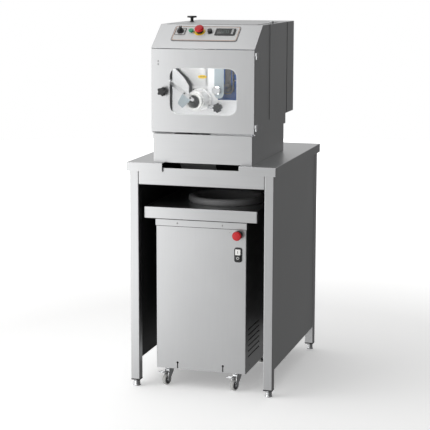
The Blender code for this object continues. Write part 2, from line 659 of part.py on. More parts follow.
def control(name, x, head, stem, low, high, material, slope):
    """A round knob or button: its head from low to high over the slope, and its stem down behind the panel."""
    profile = [(0, -0.012), (stem, -0.012), (stem, low), (head, low), (head, high - 0.002),
               (head - 0.002, high), (0, high)]
    make(name, material, spun(profile, (x, CONTROL_UP, 0), (0, 0, 1), 16), pivot=(x, CONTROL_UP, 0),
         parent=slope)


def controls(slope, finish):
    low = PANEL_THICK + SWITCH_PLATE[1] + GAP
    x = SWITCH_X
    make("main_switch", finish["black"],
         spun([(0, -0.012), (SWITCH[1], -0.012), (SWITCH[1], low), (SWITCH[0], low), (SWITCH[0], low + 0.008),
               (0, low + 0.008)],
              (x, CONTROL_UP, 0), (0, 0, 1), 16),
         brick((x - 0.005, CONTROL_UP - 0.016, low + 0.004), (x + 0.005, CONTROL_UP + 0.016, low + 0.020)),
         pivot=(x, CONTROL_UP, 0), parent=slope)
    rise = PANEL_THICK + BUTTON_RISE
    control("start_button", START_X, START[0], START[1], rise - 0.002, rise + 0.004, finish["green"], slope)
    control("stop_button", STOP_X, STOP[0], STOP[1], rise + 0.004, rise + 0.018, finish["red"], slope)
    control("speed_knob", SPEED_X, SPEED[0], SPEED[1], PANEL_THICK + 0.002, PANEL_THICK + 0.016,
            finish["black"], slope)


# ---- divider ----

def barrel(cast):
    x, z = AUGER
    def at(y):
        return BARREL_BACK - y
    flange = (at(BARREL_FLANGE[1]), at(BARREL_FLANGE[0]))
    front = at(BARREL_FRONT)
    seat = NOZZLE[0] + GAP
    wall = 0.008
    hole = AUGER_SHAFT + 0.0015
    profile = [(hole, 0), (BARREL_RADIUS, 0), (BARREL_RADIUS, flange[0]), (FLANGE_RADIUS, flange[0]),
               (FLANGE_RADIUS, flange[1]), (CONE_RADIUS[0], flange[1]), (CONE_RADIUS[1], front),
               (seat, front),
               (seat, front - NOZZLE_SEAT), (CONE_BORE, front - NOZZLE_SEAT),
               (BARREL_BORE - 0.002, flange[1]),
               (BARREL_BORE, flange[0]), (BARREL_BORE, wall), (hole, wall)]
    tube = make("barrel", cast, spun(profile, (x, BARREL_BACK, z), (0, -1, 0), 24))
    rim = 0.006
    weld(tube, brick((THROAT_X[0] - rim, THROAT_Y[0], z + 0.030),
                     (THROAT_X[1] + rim / 2, THROAT_Y[1], THROAT_TOP)))
    cut(tube, bar(BARREL_BORE - 0.001, (x, BARREL_BACK - 2 * wall, z), (x, BARREL_FLANGE[1] - wall, z), 24),
        brick((THROAT_X[0], THROAT_Y[0] + rim, z), (THROAT_X[1] - rim / 2, THROAT_Y[1] - rim,
                                                    THROAT_TOP + PAST)))


def nozzle(white):
    length = BARREL_FRONT + NOZZLE_SEAT - GAP - NOZZLE_FRONT
    profile = [(NOZZLE[1], 0), (NOZZLE[0], 0), (NOZZLE[0], length - 0.002), (NOZZLE[0] - 0.002, length),
               (NOZZLE[1], length)]
    make("nozzle", white, spun(profile, (AUGER[0], NOZZLE_FRONT + length, AUGER[1]), (0, -1, 0), 24))


def auger(cast):
    x, z = AUGER
    length = AUGER_Y[1] - AUGER_Y[0]
    def flight(bm):
        made = helix(bm, AUGER_SHAFT * 0.7, AUGER_FLIGHT, 0.004, 0, length, AUGER_PITCH)
        place(bm, made, (x, AUGER_Y[1], z), (0, -1, 0))
    tip = 0.010
    profile = [(0, 0), (AUGER_SHAFT, 0), (AUGER_SHAFT, AUGER_Y[1] - AUGER_Y[0] + 0.022),
               (0, AUGER_Y[1] - AUGER_Y[0] + 0.022 + tip)]
    make("auger", cast, spun(profile, (x, AUGER_Y[1] + 0.018, z), (0, -1, 0), 16), flight,
         pivot=(x, AUGER_Y[1], z))


def hopper(cast):
    """A funnel from the mouth under the lid down to the throat of the barrel."""
    throat = (THROAT_TOP + GAP, (THROAT_X[0] - 0.006, THROAT_X[1]), THROAT_Y)
    levels = [throat, HOPPER_MIDDLE, HOPPER_MOUTH]
    def funnel(bm):
        def ring(level, inset):
            z, x, y = level
            corner = 0.014 - inset
            outline = rounded((x[0] + inset, x[1] - inset), (y[0] + inset, y[1] - inset), corner, 2)
            return [bm.verts.new((px, py, z)) for px, py in outline]
        outer = [ring(level, 0) for level in levels]
        inner = [ring(level, HOPPER_WALL) for level in levels]
        rings = outer + inner[::-1]
        faces = []
        for low, high in zip(rings, rings[1:] + rings[:1]):
            for k in range(len(low)):
                nxt = (k + 1) % len(low)
                faces.append(bm.faces.new((low[k], low[nxt], high[nxt], high[k])))
        bmesh.ops.recalc_face_normals(bm, faces=faces)
    z, x, y = HOPPER_MOUTH
    rim = 0.004
    funnel_top = make("hopper", cast, funnel, brick((x[0] - rim, y[0] + 0.001, z - HOPPER_WALL),
                                                    (x[1] + rim, y[1] + rim, z + 0.008)))
    inset = HOPPER_WALL
    cut(funnel_top, slab(rounded((x[0] + inset, x[1] - inset), (y[0] + inset, y[1] - inset), 0.012, 2),
                         z - PAST / 5, z + PAST, "Z"))


def auger_gearmotor(blue):
    x, y, z = AUGER_BOX
    centre = AUGER
    box = make("auger_gearmotor", blue, brick((x[0], y[0], z[0]), (x[1], y[1], z[1])),
               bar(AUGER_MOTOR[0], (centre[0], y[1] - 0.002, centre[1]),
                   (centre[0], AUGER_MOTOR[1], centre[1])),
               brick((x[0] + 0.010, y[0] + 0.015, PLINTH_TOP + 2 * GAP + SHEET),
                     (x[1] - 0.010, y[1] - 0.015, z[0] + 0.001)))
    cut(box, bar(AUGER_SHAFT + 0.001, (centre[0], y[0] - PAST, centre[1]),
                 (centre[0], y[0] + 0.020, centre[1])))


def knife_and_shaft(steel, chrome):
    x, z = KNIFE
    low, high = z + KNIFE_Z[0], z + KNIFE_Z[1]
    sides = (x + KNIFE_X[0], x + KNIFE_X[1])
    half = (sides[1] - sides[0]) / 2
    middle = sides[0] + half
    outline = arc((middle, low + half), half, 180, 360, 8) + [(sides[1], high), (sides[0], high)]
    blade = make("knife", steel, slab(outline, KNIFE_Y[0], KNIFE_Y[1]), pivot=(x, KNIFE_Y[0], z))
    cut(blade, bar(KNIFE_SHAFT + GAP, (x, KNIFE_Y[0] - PAST, z), (x, KNIFE_Y[1] + PAST, z)))
    front = KNIFE_Y[0] - GAP
    make("knife_shaft", chrome, bar(KNIFE_SHAFT, (x, front - 0.010, z), (x, KNIFE_BOX[1][0] + 0.040, z)),
         spun([(0, 0), (KNIFE_BOSS, 0), (KNIFE_BOSS, 0.010), (KNIFE_BOSS - 0.004, 0.014), (0, 0.014)],
              (x, front, z), (0, -1, 0)),
         bar(0.014, (x, KNIFE_Y[1] + GAP, z), (x, KNIFE_Y[1] + 0.012, z)),
         sprocket(KNIFE, KNIFE_SPROCKET), pivot=(x, KNIFE_Y[0], z))


def sprocket(centre, gear):
    radius, teeth = gear
    outline = []
    for k in range(teeth * 2):
        r = radius if k % 2 else radius - 0.003
        angle = math.pi * k / teeth
        outline.append((centre[0] + r * math.cos(angle), centre[1] + r * math.sin(angle)))
    return slab(outline, CHAIN_Y[0] + 0.002, CHAIN_Y[1] - 0.002)


def chain_drive(steel, blue):
    x, z = KNIFE
    top = (x, z + SPROCKET_RISE)
    box_front = KNIFE_BOX[1][0]
    make("motor_sprocket", steel, bar(MOTOR_SHAFT, (x, CHAIN_Y[0] - 0.004, top[1]),
                                      (x, box_front + 0.025, top[1]), 20),
         sprocket(top, MOTOR_SPROCKET), pivot=(x, CHAIN_Y[0], top[1]))
    inside = [radius + CHAIN_SLACK for radius, _ in (KNIFE_SPROCKET, MOTOR_SPROCKET)]
    outside = [radius + CHAIN_THICK for radius in inside]
    loop = make("drive_chain", steel, slab(wrap(KNIFE, outside[0], top, outside[1]), CHAIN_Y[0], CHAIN_Y[1]))
    cut(loop, slab(wrap(KNIFE, inside[0], top, inside[1]), CHAIN_Y[0] - PAST / 2, CHAIN_Y[1] + PAST / 2))
    across, deep, tall = KNIFE_BOX
    foot_x, foot_z = KNIFE_BOX_LOW
    motor_x, motor_z, motor_radius, motor_end = KNIFE_MOTOR
    box = make("knife_gearmotor", blue, brick((across[0], deep[0], tall[0]), (across[1], deep[1], tall[1])),
               brick((foot_x[0], deep[0] + GAP, foot_z), (foot_x[1], deep[1] - 0.010, tall[0] + 0.001)),
               brick((foot_x[0] + 0.020, deep[0] + 0.010, PLINTH_TOP + 2 * GAP + SHEET),
                     (foot_x[1] - 0.020, deep[1] - 0.020, foot_z + 0.001)),
               bar(motor_radius, (motor_x, deep[1] - 0.002, motor_z), (motor_x, motor_end, motor_z)))
    cut(box, bar(KNIFE_SHAFT + 0.0005, (x, deep[0] - PAST, z), (x, deep[0] + 0.045, z)),
        bar(MOTOR_SHAFT + 0.0005, (x, deep[0] - PAST, top[1]), (x, deep[0] + 0.030, top[1]), 20))


def clamp_knob(black):
    x, z = CLAMP
    make("clamp_knob", black, slab(lobed(CLAMP, CLAMP_RADIUS, CLAMP_LOBE, 8, 4), CLAMP_Y[0], CLAMP_Y[1]),
         bar(0.010, (x, CLAMP_Y[1] - 0.001, z), (x, BULKHEAD_Y - SHEET - 0.004, z), 20),
         bar(0.005, (x, CLAMP_Y[1], z), (x, BULKHEAD_Y + 0.012, z), 16), pivot=(x, CLAMP_Y[1], z))


def feeler_arm(steel):
    pivot, tip = Vector(FEELER_PIVOT), Vector(FEELER_TIP)
    along = (tip - pivot).normalized()
    across = Vector((-along.y, along.x)) * FEELER_WIDE / 2
    ends = (pivot - along * 0.010, tip + along * 0.004)
    outline = [tuple(ends[0] + across), tuple(ends[0] - across), tuple(ends[1] - across),
               tuple(ends[1] + across)]
    back = FEELER_Y[1]
    start, end = (pivot + along * step for step in FEELER_PLATE_ALONG)
    drop = -across.normalized() * FEELER_PLATE_DROP
    plate = [tuple(start), tuple(start + drop * 0.95 + along * 0.008), tuple(end + drop - along * 0.010),
             tuple(end)]
    make("feeler_arm", steel, slab(outline, FEELER_Y[0], back),
         slab(plate, FEELER_Y[0] + 0.001, FEELER_Y[0] + 0.003),
         bar(FEELER_PIN, (pivot.x, FEELER_Y[0] - 0.004, pivot.y), (pivot.x, back + 0.012, pivot.y), 16),
         bar(0.007, (pivot.x, FEELER_Y[0] - 0.005, pivot.y), (pivot.x, FEELER_Y[0] + 0.001, pivot.y), 16),
         pivot=(pivot.x, FEELER_Y[0], pivot.y))


# ---- rounder cart ----

def cart_covers(steel):
    x0, x1 = CART_X - CART_WIDTH / 2, CART_X + CART_WIDTH / 2
    top = CABINET_TOP
    cabinet = make("cart_cabinet", steel, brick((x0, CART_FRONT, CART_BOTTOM), (x1, CART_BACK, top)))
    cut(cabinet, brick((x0 + SHEET, CART_FRONT + SHEET, CART_BOTTOM - PAST),
                       (x1 - SHEET, CART_BACK - SHEET, top + PAST)))
    height, radius, slot = KEYHOLE
    for x in KEYHOLES:
        cut(cabinet, bar(radius, (x, CART_FRONT - PAST, height), (x, CART_FRONT + PAST / 2, height), 16),
            brick((x - slot, CART_FRONT - PAST, CART_BOTTOM - PAST),
                  (x + slot, CART_FRONT + PAST / 2, height)))
    for row in range(VENT_ROWS):
        z = VENT_FIRST + row * VENT_STEP
        cut(cabinet, brick((x0 - PAST, VENT_Y[0], z), (x1 + PAST, VENT_Y[1], z + VENT_HIGH)))
    stop_x, stop_z, _ = CART_STOP
    half = PAIR_KEY[0] / 2 + 0.0015
    cut(cabinet, bar(0.0105, (stop_x, CART_FRONT - PAST, stop_z), (stop_x, CART_FRONT + PAST / 2, stop_z),
                     20),
        brick((PAIR[0] - half, CART_FRONT - PAST, PAIR[1] - PAIR_KEY[1] - 0.003),
              (PAIR[0] + half, CART_FRONT + PAST / 2, PAIR[1] + PAIR_KEY[1] + 0.003)))
    bowl_hole = bar(BOWL_WALL[1] + 0.0005, (*BOWL, CAP_BOTTOM - PAST), (*BOWL, 1), 32)
    lip = CAP_PROUD
    cap_top = top + GAP + SHEET
    cap = make("cart_cap", steel, brick((x0 - lip, CART_FRONT - lip, CAP_BOTTOM),
                                        (x1 + lip, CART_BACK + lip, cap_top)))
    near = lip - SHEET
    cut(cap, brick((x0 - near, CART_FRONT - near, CAP_BOTTOM - PAST),
                   (x1 + near, CART_BACK + near, cap_top - SHEET)), bowl_hole)
    tray_x = (CART_X - TRAY_WIDTH / 2, CART_X + TRAY_WIDTH / 2)
    low = cap_top + GAP
    tray = make("rounder_tray", steel, brick((tray_x[0], TRAY_FRONT, low),
                                             (tray_x[1], TRAY_BACK, low + TRAY_HEIGHT)))
    cut(tray, brick((tray_x[0] + SHEET, TRAY_FRONT + SHEET, low - PAST),
                    (tray_x[1] - SHEET, TRAY_BACK - SHEET, low + TRAY_HEIGHT - SHEET)), bowl_hole)
    for y in (CART_FRONT + TRAY_RAIL_INSET, CART_BACK - TRAY_RAIL_INSET - TRAY_RAIL):
        weld(tray, brick((x0 + RAIL_END_INSET, y, low), (x1 - RAIL_END_INSET, y + TRAY_RAIL,
                                                         low + TRAY_HEIGHT - SHEET / 2)))
    inner = (x0 + SHEET + GAP, x1 - SHEET - GAP, CART_FRONT + SHEET + GAP, CART_BACK - SHEET - GAP)
    base = make("cart_base", steel, brick((inner[0], inner[2], CART_BOTTOM),
                                          (inner[1], inner[3], CART_BOTTOM + BASE_FLANGE)))
    cut(base, brick((inner[0] + SHEET, inner[2] + SHEET, CART_BOTTOM + SHEET),
                    (inner[1] - SHEET, inner[3] - SHEET, CART_BOTTOM + BASE_FLANGE + PAST)))
    half, thick = CASTOR_PLATE[0] / 2, CASTOR_PLATE[1]
    for side in (-1, 1):
        for y in CASTOR_Y:
            x = CART_X + side * CASTOR_X
            weld(base, brick((x - half, y - half, CART_BOTTOM - thick),
                             (x + half, y + half, CART_BOTTOM + SHEET / 2)))
    return low + TRAY_HEIGHT


def bowl_and_screw(coating, cast, tray_top):
    x, y = BOWL
    inner, outer = BOWL_WALL
    floor = tray_top - BOWL_DEPTH
    seat, top, rim = tray_top + GAP, tray_top + BOWL_RISE, BOWL_RIM
    middle = (rim + inner) / 2
    hole = SCREW_SHAFT + 0.0005
    profile = [(hole, floor), (outer, floor), (outer, seat), (rim - 0.004, seat), (rim, seat + 0.006),
               (rim, top - 0.010), (rim - 0.006, top - 0.002), (middle, top), (inner + 0.006, top - 0.002),
               (inner + 0.001, top - 0.010), (inner, seat), (inner, floor + 0.003), (hole, floor + 0.003)]
    make("rounding_bowl", coating, spun(profile, (x, y, 0), (0, 0, 1), 32))
    disc = floor + 0.0045
    cone = [(0, disc - 0.092), (SCREW_SHAFT, disc - 0.092), (SCREW_SHAFT, disc), (SCREW_DISC, disc),
            (SCREW_DISC, disc + 0.004),
            (SCREW_CONE[0], disc + 0.006), (SCREW_CONE[1], tray_top - 0.008),
            (SCREW_CONE[1] - 0.006, tray_top), (0, tray_top)]
    def flight(bm):
        made = helix(bm, SCREW_CONE[1] * 0.6, SCREW_FLIGHT, 0.006, 0, 0.075, 0.060, 22)
        bmesh.ops.translate(bm, vec=(x, y, disc + 0.012), verts=made)
    make("rounding_screw", coating, spun(cone, (x, y, 0), (0, 0, 1), 24), flight, pivot=(x, y, disc))
    half, tall = ROUNDER_BOX[0] / 2, ROUNDER_BOX[1]
    box_top = floor - GAP
    box = make("rounder_gearmotor", cast, brick((x - half, y - half, box_top - tall),
                                                (x + half, y + half, box_top)),
               bar(ROUNDER_MOTOR[0], (x, y, box_top - tall + 0.002),
                   (x, y, box_top - tall - ROUNDER_MOTOR[1])))
    cut(box, bar(SCREW_SHAFT + 0.001, (x, y, box_top + PAST), (x, y, disc - 0.094)))


def cart_controls(finish):
    x, z, radius = CART_STOP
    front, back = CART_STOP_Y
    profile = [(0, 0), (0.010, 0), (0.010, CART_FRONT + 0.015 - back), (radius, CART_FRONT + 0.015 - back),
               (radius, CART_FRONT + 0.015 - front - 0.004), (radius - 0.004, CART_FRONT + 0.015 - front),
               (0, CART_FRONT + 0.015 - front)]
    make("cart_stop_button", finish["red"], spun(profile, (x, CART_FRONT + 0.015, z), (0, -1, 0)),
         pivot=(x, back, z))
    x, z = PAIR
    half_x, half_z = PAIR_SIZE[0] / 2, PAIR_SIZE[1] / 2
    frame = make("switch_frame", finish["black"], slab(rounded((x - half_x, x + half_x),
                                                               (z - half_z, z + half_z), 0.012), PAIR_Y[0],
                                                       PAIR_Y[1]))
    key_x, key_z = PAIR_KEY[0] / 2, PAIR_KEY[1]
    cut(frame, brick((x - key_x - 0.0006, PAIR_Y[0] - PAST, z - key_z - 0.0006),
                     (x + key_x + 0.0006, PAIR_Y[1] + PAST, z + key_z + 0.0006)))
    front, back = PAIR_Y[0] - KEY_PROUD, CART_FRONT + 0.010
    keys = (("cart_start_button", "white", z + GAP, z + key_z),
            ("cart_off_button", "black", z - key_z, z - GAP))
    for name, colour, low, high in keys:
        make(name, finish[colour], brick((x - key_x, front, low), (x + key_x, back, high)),
             pivot=(x, front, (low + high) / 2))


def castor(label, side, y, braked, finish):
    """A swivel fork with its axle, a wheel, and a brake pedal on the front pair."""
    centre = (CART_X + side * CASTOR_X, y, 0)
    frame = frame_at("castor_frame_" + label,
                     Matrix.Translation(centre) @ Matrix.Rotation(math.radians(CASTOR_TURN), 4, "Z"))
    plate = CART_BOTTOM - CASTOR_PLATE[1] - GAP
    radius, half = WHEEL
    crown = CASTOR_HEAD[1] - 0.006
    arm = [(-0.030, crown + 0.002), (0.014, crown + 0.002), (-TRAIL + 0.008, radius - 0.007),
           (-TRAIL - 0.008, radius - 0.007)]
    make("castor_fork_" + label, finish["chrome"], bar(CASTOR_HEAD[0], (0, 0, CASTOR_HEAD[1] - GAP),
                                                       (0, 0, plate)),
         brick((-ARM[1], -0.030, crown), (ARM[1], 0.014, CASTOR_HEAD[1] + 0.001)),
         slab(arm, -ARM[1], -ARM[0], "X"), slab(arm, ARM[0], ARM[1], "X"),
         bar(AXLE, (-ARM[1] - 0.002, -TRAIL, radius), (ARM[1] + 0.002, -TRAIL, radius), 16), parent=frame)
    bore = AXLE + 0.0006
    tread = [(bore, -half), (radius - 0.002, -half), (radius, -half + 0.002), (radius, half - 0.002),
             (radius - 0.002, half), (bore, half)]
    make("castor_wheel_" + label, finish["grey"], spun(tread, (0, -TRAIL, radius), (1, 0, 0), 24),
         pivot=(0, -TRAIL, radius), parent=frame)
    if braked:
        y0, z0 = PEDAL_PIVOT
        lever = [(y0 + 0.0055, z0 + 0.001), (y0, z0 - 0.003), (y0 - 0.030, z0 + 0.006),
                 (y0 - 0.031, z0 + 0.010), (y0, z0 + 0.0045)]
        make("brake_pedal_" + label, finish["chrome"], slab(lever, -PEDAL_WIDE, PEDAL_WIDE, "X"),
             pivot=(0, y0, z0), parent=frame)


def build():
    clear_scene()
    steel = paint("brushed_stainless", (0.72, 0.72, 0.71), 0.32, 1.0)
    chrome = paint("chrome", (0.82, 0.83, 0.84), 0.12, 1.0)
    cast = paint("cast_aluminium", (0.78, 0.78, 0.76), 0.42, 1.0)
    coating = paint("dark_nonstick", (0.045, 0.045, 0.047), 0.45)
    blue = paint("blue_enamel", (0.02, 0.12, 0.36), 0.35)
    white = paint("white_plastic", (0.86, 0.86, 0.84), 0.40)
    clear = paint("clear_pane", (0.90, 0.94, 0.95), 0.05, 0.0, 0.15)
    finish = {"black": paint("black_plastic", (0.02, 0.02, 0.02), 0.38),
              "red": paint("red_plastic", (0.60, 0.01, 0.02), 0.30),
              "green": paint("green_plastic", (0.01, 0.30, 0.16), 0.30),
              "grey": paint("grey_wheel", (0.45, 0.45, 0.45), 0.55),
              "white": white, "chrome": chrome}
    tabletop(steel)
    for label, (side, end) in CORNERS.items():
        leg_and_foot(label, side, end, steel)
    table_skirts(steel)
    plinth(steel)
    slope = slope_frame()
    casing(steel, slope)
    rear_hood(steel)
    door(steel, clear)
    for label, height in HINGE_HEIGHTS.items():
        door_hinge(label, height, chrome)
    door_knob(finish["black"])
    lid(steel)
    control_panel(white, slope)
    controls(slope, finish)
    barrel(cast)
    nozzle(white)
    auger(cast)
    hopper(cast)
    auger_gearmotor(blue)
    knife_and_shaft(steel, chrome)
    chain_drive(steel, blue)
    clamp_knob(finish["black"])
    feeler_arm(steel)
    tray_top = cart_covers(steel)
    bowl_and_screw(coating, cast, tray_top)
    cart_controls(finish)
    for label, (side, end) in CORNERS.items():
        castor(label, side, CASTOR_Y[0] if end < 0 else CASTOR_Y[1], end < 0, finish)


build()
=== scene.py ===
# %% [markdown]
# # A dough divider on its table, with the rounder parked under it
#
# The measured frame already holds every sub-part at its true size, on the joints it
# moves with. This lesson dresses that frame: folded sheet with rolled edges, turned
# rings, a real link chain, finned motors, and a finish for every surface. Each step
# says what the piece is in the workshop, then how it is built here.

# %% Load the measured frame
import json
import math

import bmesh
import bpy
from mathutils import Matrix, Vector


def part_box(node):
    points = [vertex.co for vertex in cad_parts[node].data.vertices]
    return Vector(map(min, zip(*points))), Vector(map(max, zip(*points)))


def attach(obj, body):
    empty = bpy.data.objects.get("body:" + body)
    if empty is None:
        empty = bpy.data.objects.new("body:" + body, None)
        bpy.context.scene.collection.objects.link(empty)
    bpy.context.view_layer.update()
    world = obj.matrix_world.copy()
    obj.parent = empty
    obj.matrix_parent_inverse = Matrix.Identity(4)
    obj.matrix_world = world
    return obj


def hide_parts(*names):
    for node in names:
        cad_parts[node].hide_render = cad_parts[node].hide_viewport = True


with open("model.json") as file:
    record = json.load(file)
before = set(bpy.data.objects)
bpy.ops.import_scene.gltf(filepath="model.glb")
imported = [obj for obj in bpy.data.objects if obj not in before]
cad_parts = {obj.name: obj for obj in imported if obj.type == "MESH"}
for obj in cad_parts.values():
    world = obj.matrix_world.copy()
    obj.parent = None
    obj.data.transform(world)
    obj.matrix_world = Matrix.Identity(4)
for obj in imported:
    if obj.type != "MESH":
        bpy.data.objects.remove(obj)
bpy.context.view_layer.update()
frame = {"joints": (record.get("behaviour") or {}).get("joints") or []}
joints = {joint["name"]: joint for joint in frame["joints"]}

# %% [markdown]
# ## Shader maths that reads as Python
#
# A finish varies over its surface: brushing, cast grain, oil on a chain. Each of those is
# a small sum of textures. Wiring Math nodes one by one hides the sum, so a socket is
# wrapped in a class whose operators add the nodes. One method makes every other kind of
# node.

# %% A socket that does sums, and a finish that holds nodes
class Reading:
    """What a socket gives at each point. Plus, minus and times add Math nodes."""

    def __init__(self, finish, socket):
        self.finish, self.socket = finish, socket

    def maths(self, operation, *values):
        return self.finish.node("Math", {"operation": operation}, dict(enumerate(values)))

    def __add__(self, other):
        return self.maths("ADD", self, other)

    def __sub__(self, other):
        return self.maths("SUBTRACT", self, other)

    def __mul__(self, other):
        return self.maths("MULTIPLY", self, other)

    __radd__ = __add__
    __rmul__ = __mul__


class Finish:
    """A material: constants on the shader's own sockets, and nodes for what varies."""

    def __init__(self, name, colour, roughness, metallic=0.0, **constants):
        self.material = bpy.data.materials.new(name)
        self.material.use_nodes = True
        self.material.diffuse_color = (*colour, 1.0)
        self.tree = self.material.node_tree
        self.shader = self.tree.nodes["Principled BSDF"]
        self.colour, self.slot = (*colour, 1.0), "white_plastic"
        values = {"Base Color": self.colour, "Roughness": roughness, "Metallic": metallic}
        for label, value in {**values, **constants}.items():
            self.shader.inputs[label].default_value = value

    def node(self, kind, settings=None, sockets=None, output=0):
        """Adds a node: its settings first, then the value or the link of each socket."""
        made = self.tree.nodes.new("ShaderNode" + kind)
        for label, value in (settings or {}).items():
            setattr(made, label, value)
        self.wire(made, sockets or {})
        return Reading(self, made.outputs[output])

    def wire(self, made, sockets):
        for key, value in sockets.items():
            if isinstance(value, Reading):
                self.tree.links.new(value.socket, made.inputs[key])
            else:
                made.inputs[key].default_value = value

    def drive(self, **readings):
        """Feeds the shader's varying sockets, named with _ for a space."""
        self.wire(
            self.shader, {label.replace("_", " "): value for label, value in readings.items()})

    def place(self, scale=(1, 1, 1)):
        """The point on the piece, in metres, stretched by scale."""
        point = self.node("TexCoord", output=3)
        return self.node("Mapping", {"vector_type": "POINT"}, {"Vector": point, "Scale": scale})

    def noise(self, scale, stretch=(1, 1, 1), detail=3.0, rough=0.55):
        return self.node("TexNoise", {"noise_dimensions": "3D"},
                         {"Vector": self.place(stretch), "Scale": scale, "Detail": detail,
                          "Roughness": rough})

    def blend(self, amount, first, second):
        return self.node("Mix", {"data_type": "RGBA"}, {0: amount, 6: first, 7: second}, output=2)

    def bump(self, height, strength, distance=0.001):
        self.drive(Normal=self.node("Bump", None,
            {"Height": height, "Strength": strength, "Distance": distance}))


print("a finish is made of readings:",
      [name for name in vars(Reading) if name.startswith("__")][:8])

# %% [markdown]
# ## Stainless sheet
#
# The covers are brushed stainless: fine lines all one way, a soft sheen, and cloudy
# hand marks. Anisotropic shading needs a tangent that an exported mesh doesn't keep, so
# the lines are a noise stretched along the grain. The same noise moves the roughness and
# a very small bump; a slow noise adds the clouds.

# %% Brushed stainless, along each way the sheet was rubbed
def brushed(name, grain, colour, roughness, clouds=0.06, metallic=1.0):
    steel = Finish(name, colour, roughness, metallic)
    lines = steel.noise(260.0, grain, detail=2.0)
    cloud = steel.noise(3.2, detail=4.0)
    dull = tuple(value * 0.86 for value in colour) + (1.0,)
    shade = (lines - 0.5) * 0.5 + (cloud - 0.5) * 0.9 + 0.5
    steel.drive(Base_Color=steel.blend(shade, dull, steel.colour),
                Roughness=(lines - 0.5) * 0.16 + (cloud - 0.5) * clouds * 2 + roughness)
    steel.bump(lines, 0.05, 0.0004)
    return steel


steel_up = brushed("brushed_stainless_upright", (1, 1, 0.02), (0.6, 0.605, 0.61), 0.34)
steel_across = brushed("brushed_stainless_across", (0.02, 1, 1), (0.6, 0.605, 0.61), 0.34)
tray_skin = brushed("brushed_stainless_tray", (0.02, 1, 1), (0.6, 0.605, 0.61), 0.32)
# Painted shade: a near-black sheet standing for the shade inside the table, the cart and the hood,
# not a finish the steel has
painted_shade_lining = brushed("dark_lining", (1, 1, 0.2), (0.018, 0.018, 0.019), 0.62, metallic=0.0)
print("stainless:", steel_up.material.name, steel_across.material.name)

# %% [markdown]
# ## Bright, cast and oily metals
#
# Castor forks, hinges and the motor shafts are chromed: almost a mirror, with faint
# swirls. The hopper, the barrel and the auger are cast aluminium, tumbled to a soft
# grey, so they take a grain bump and no direction. Chain and sprockets are dark, oiled
# steel.

# %% Chrome, cast aluminium, knife steel and chain steel
chrome = Finish("bright_chrome", (0.78, 0.79, 0.8), 0.12, 1.0)
chrome.drive(Roughness=(chrome.noise(60.0) - 0.5) * 0.1 + 0.13)

cast = Finish("cast_aluminium", (0.74, 0.74, 0.73), 0.42, 0.75)
grain = cast.noise(420.0, detail=5.0, rough=0.7)
cast.drive(
    Base_Color=cast.blend(cast.noise(9.0) * 0.8, (0.62, 0.62, 0.615, 1), (0.82, 0.82, 0.81, 1)),
    Roughness=(grain - 0.5) * 0.2 + 0.42)
cast.bump(grain, 0.16, 0.0006)

cast_white = Finish("polished_casting", (0.83, 0.83, 0.82), 0.3, 0.35, **{"Coat Weight": 0.25})
pits = cast_white.noise(300.0, detail=4.0)
cast_white.drive(
    Base_Color=cast_white.blend(cast_white.noise(14.0), (0.74, 0.74, 0.735, 1),
        (0.9, 0.9, 0.89, 1)), Roughness=(pits - 0.5) * 0.16 + 0.3)
cast_white.bump(pits, 0.06, 0.0005)

blade_steel = brushed("blued_blade_steel", (1, 1, 0.05), (0.4, 0.46, 0.49), 0.42, metallic=0.4)
chamber_steel = brushed("bright_chamber_sheet", (0.05, 1, 1), (0.86, 0.865, 0.87), 0.48,
                        metallic=0.1)
chain_steel = Finish("oiled_chain_steel", (0.14, 0.137, 0.13), 0.3, 0.9)
oil = chain_steel.noise(90.0)
chain_steel.drive(
    Base_Color=chain_steel.blend(oil, (0.012, 0.011, 0.01, 1), (0.22, 0.215, 0.21, 1)),
    Roughness=oil * 0.3 + 0.22)
screw_steel = Finish("screw_steel", (0.4, 0.4, 0.4), 0.3, 1.0)
screw_steel.drive(Roughness=screw_steel.noise(120.0) * 0.2 + 0.22)
print("metals:", [m.name for m in bpy.data.materials if "steel" in m.name])

# %% [markdown]
# ## Enamel, coatings and plastics
#
# The gearmotors wear a stoved blue enamel with a slight orange peel. The rounder's bowl
# has a dark non-stick coating with fine flecks. Moulded plastics differ in gloss: the
# stop buttons are glossy, the knobs have a spark-eroded grain, and the castor tread is
# dull rubber.

# %% Painted and moulded finishes
def moulded(name, colour, roughness, grain, depth, spread=0.12, coat=0.0):
    plastic = Finish(name, colour, roughness, 0.0, **{"Coat Weight": coat})
    pattern = plastic.noise(grain, detail=4.0, rough=0.65)
    pale = tuple(min(1.0, value * (1 + spread) + 0.004) for value in colour) + (1.0,)
    deep = tuple(value * (1 - spread) for value in colour) + (1.0,)
    plastic.drive(Base_Color=plastic.blend(pattern, deep, pale),
                  Roughness=(pattern - 0.5) * 0.16 + roughness)
    plastic.bump(pattern, depth, 0.0004)
    return plastic


enamel = moulded("blue_enamel", (0.01, 0.085, 0.34), 0.28, 140.0, 0.1, 0.18, coat=0.5)
coating = moulded("dark_nonstick", (0.17, 0.17, 0.173), 0.48, 900.0, 0.12, 0.4)
black = moulded("black_plastic", (0.016, 0.016, 0.017), 0.38, 700.0, 0.14, 0.2)
white = moulded("white_plastic", (0.8, 0.8, 0.78), 0.36, 500.0, 0.04, 0.03)
ivory = moulded("panel_white", (0.66, 0.66, 0.655), 0.5, 500.0, 0.03, 0.03)
grey_trim = moulded("panel_grey_rim", (0.13, 0.13, 0.135), 0.45, 500.0, 0.04, 0.06)
pale_trim = moulded("window_rim", (0.62, 0.63, 0.63), 0.42, 500.0, 0.04, 0.05)
red = moulded("red_plastic", (0.5, 0.0, 0.006), 0.46, 300.0, 0.03, 0.04)
green = moulded("green_plastic", (0.01, 0.28, 0.13), 0.28, 300.0, 0.03, 0.06, coat=0.3)
yellow = moulded("yellow_label", (0.86, 0.58, 0.02), 0.4, 400.0, 0.03, 0.05)
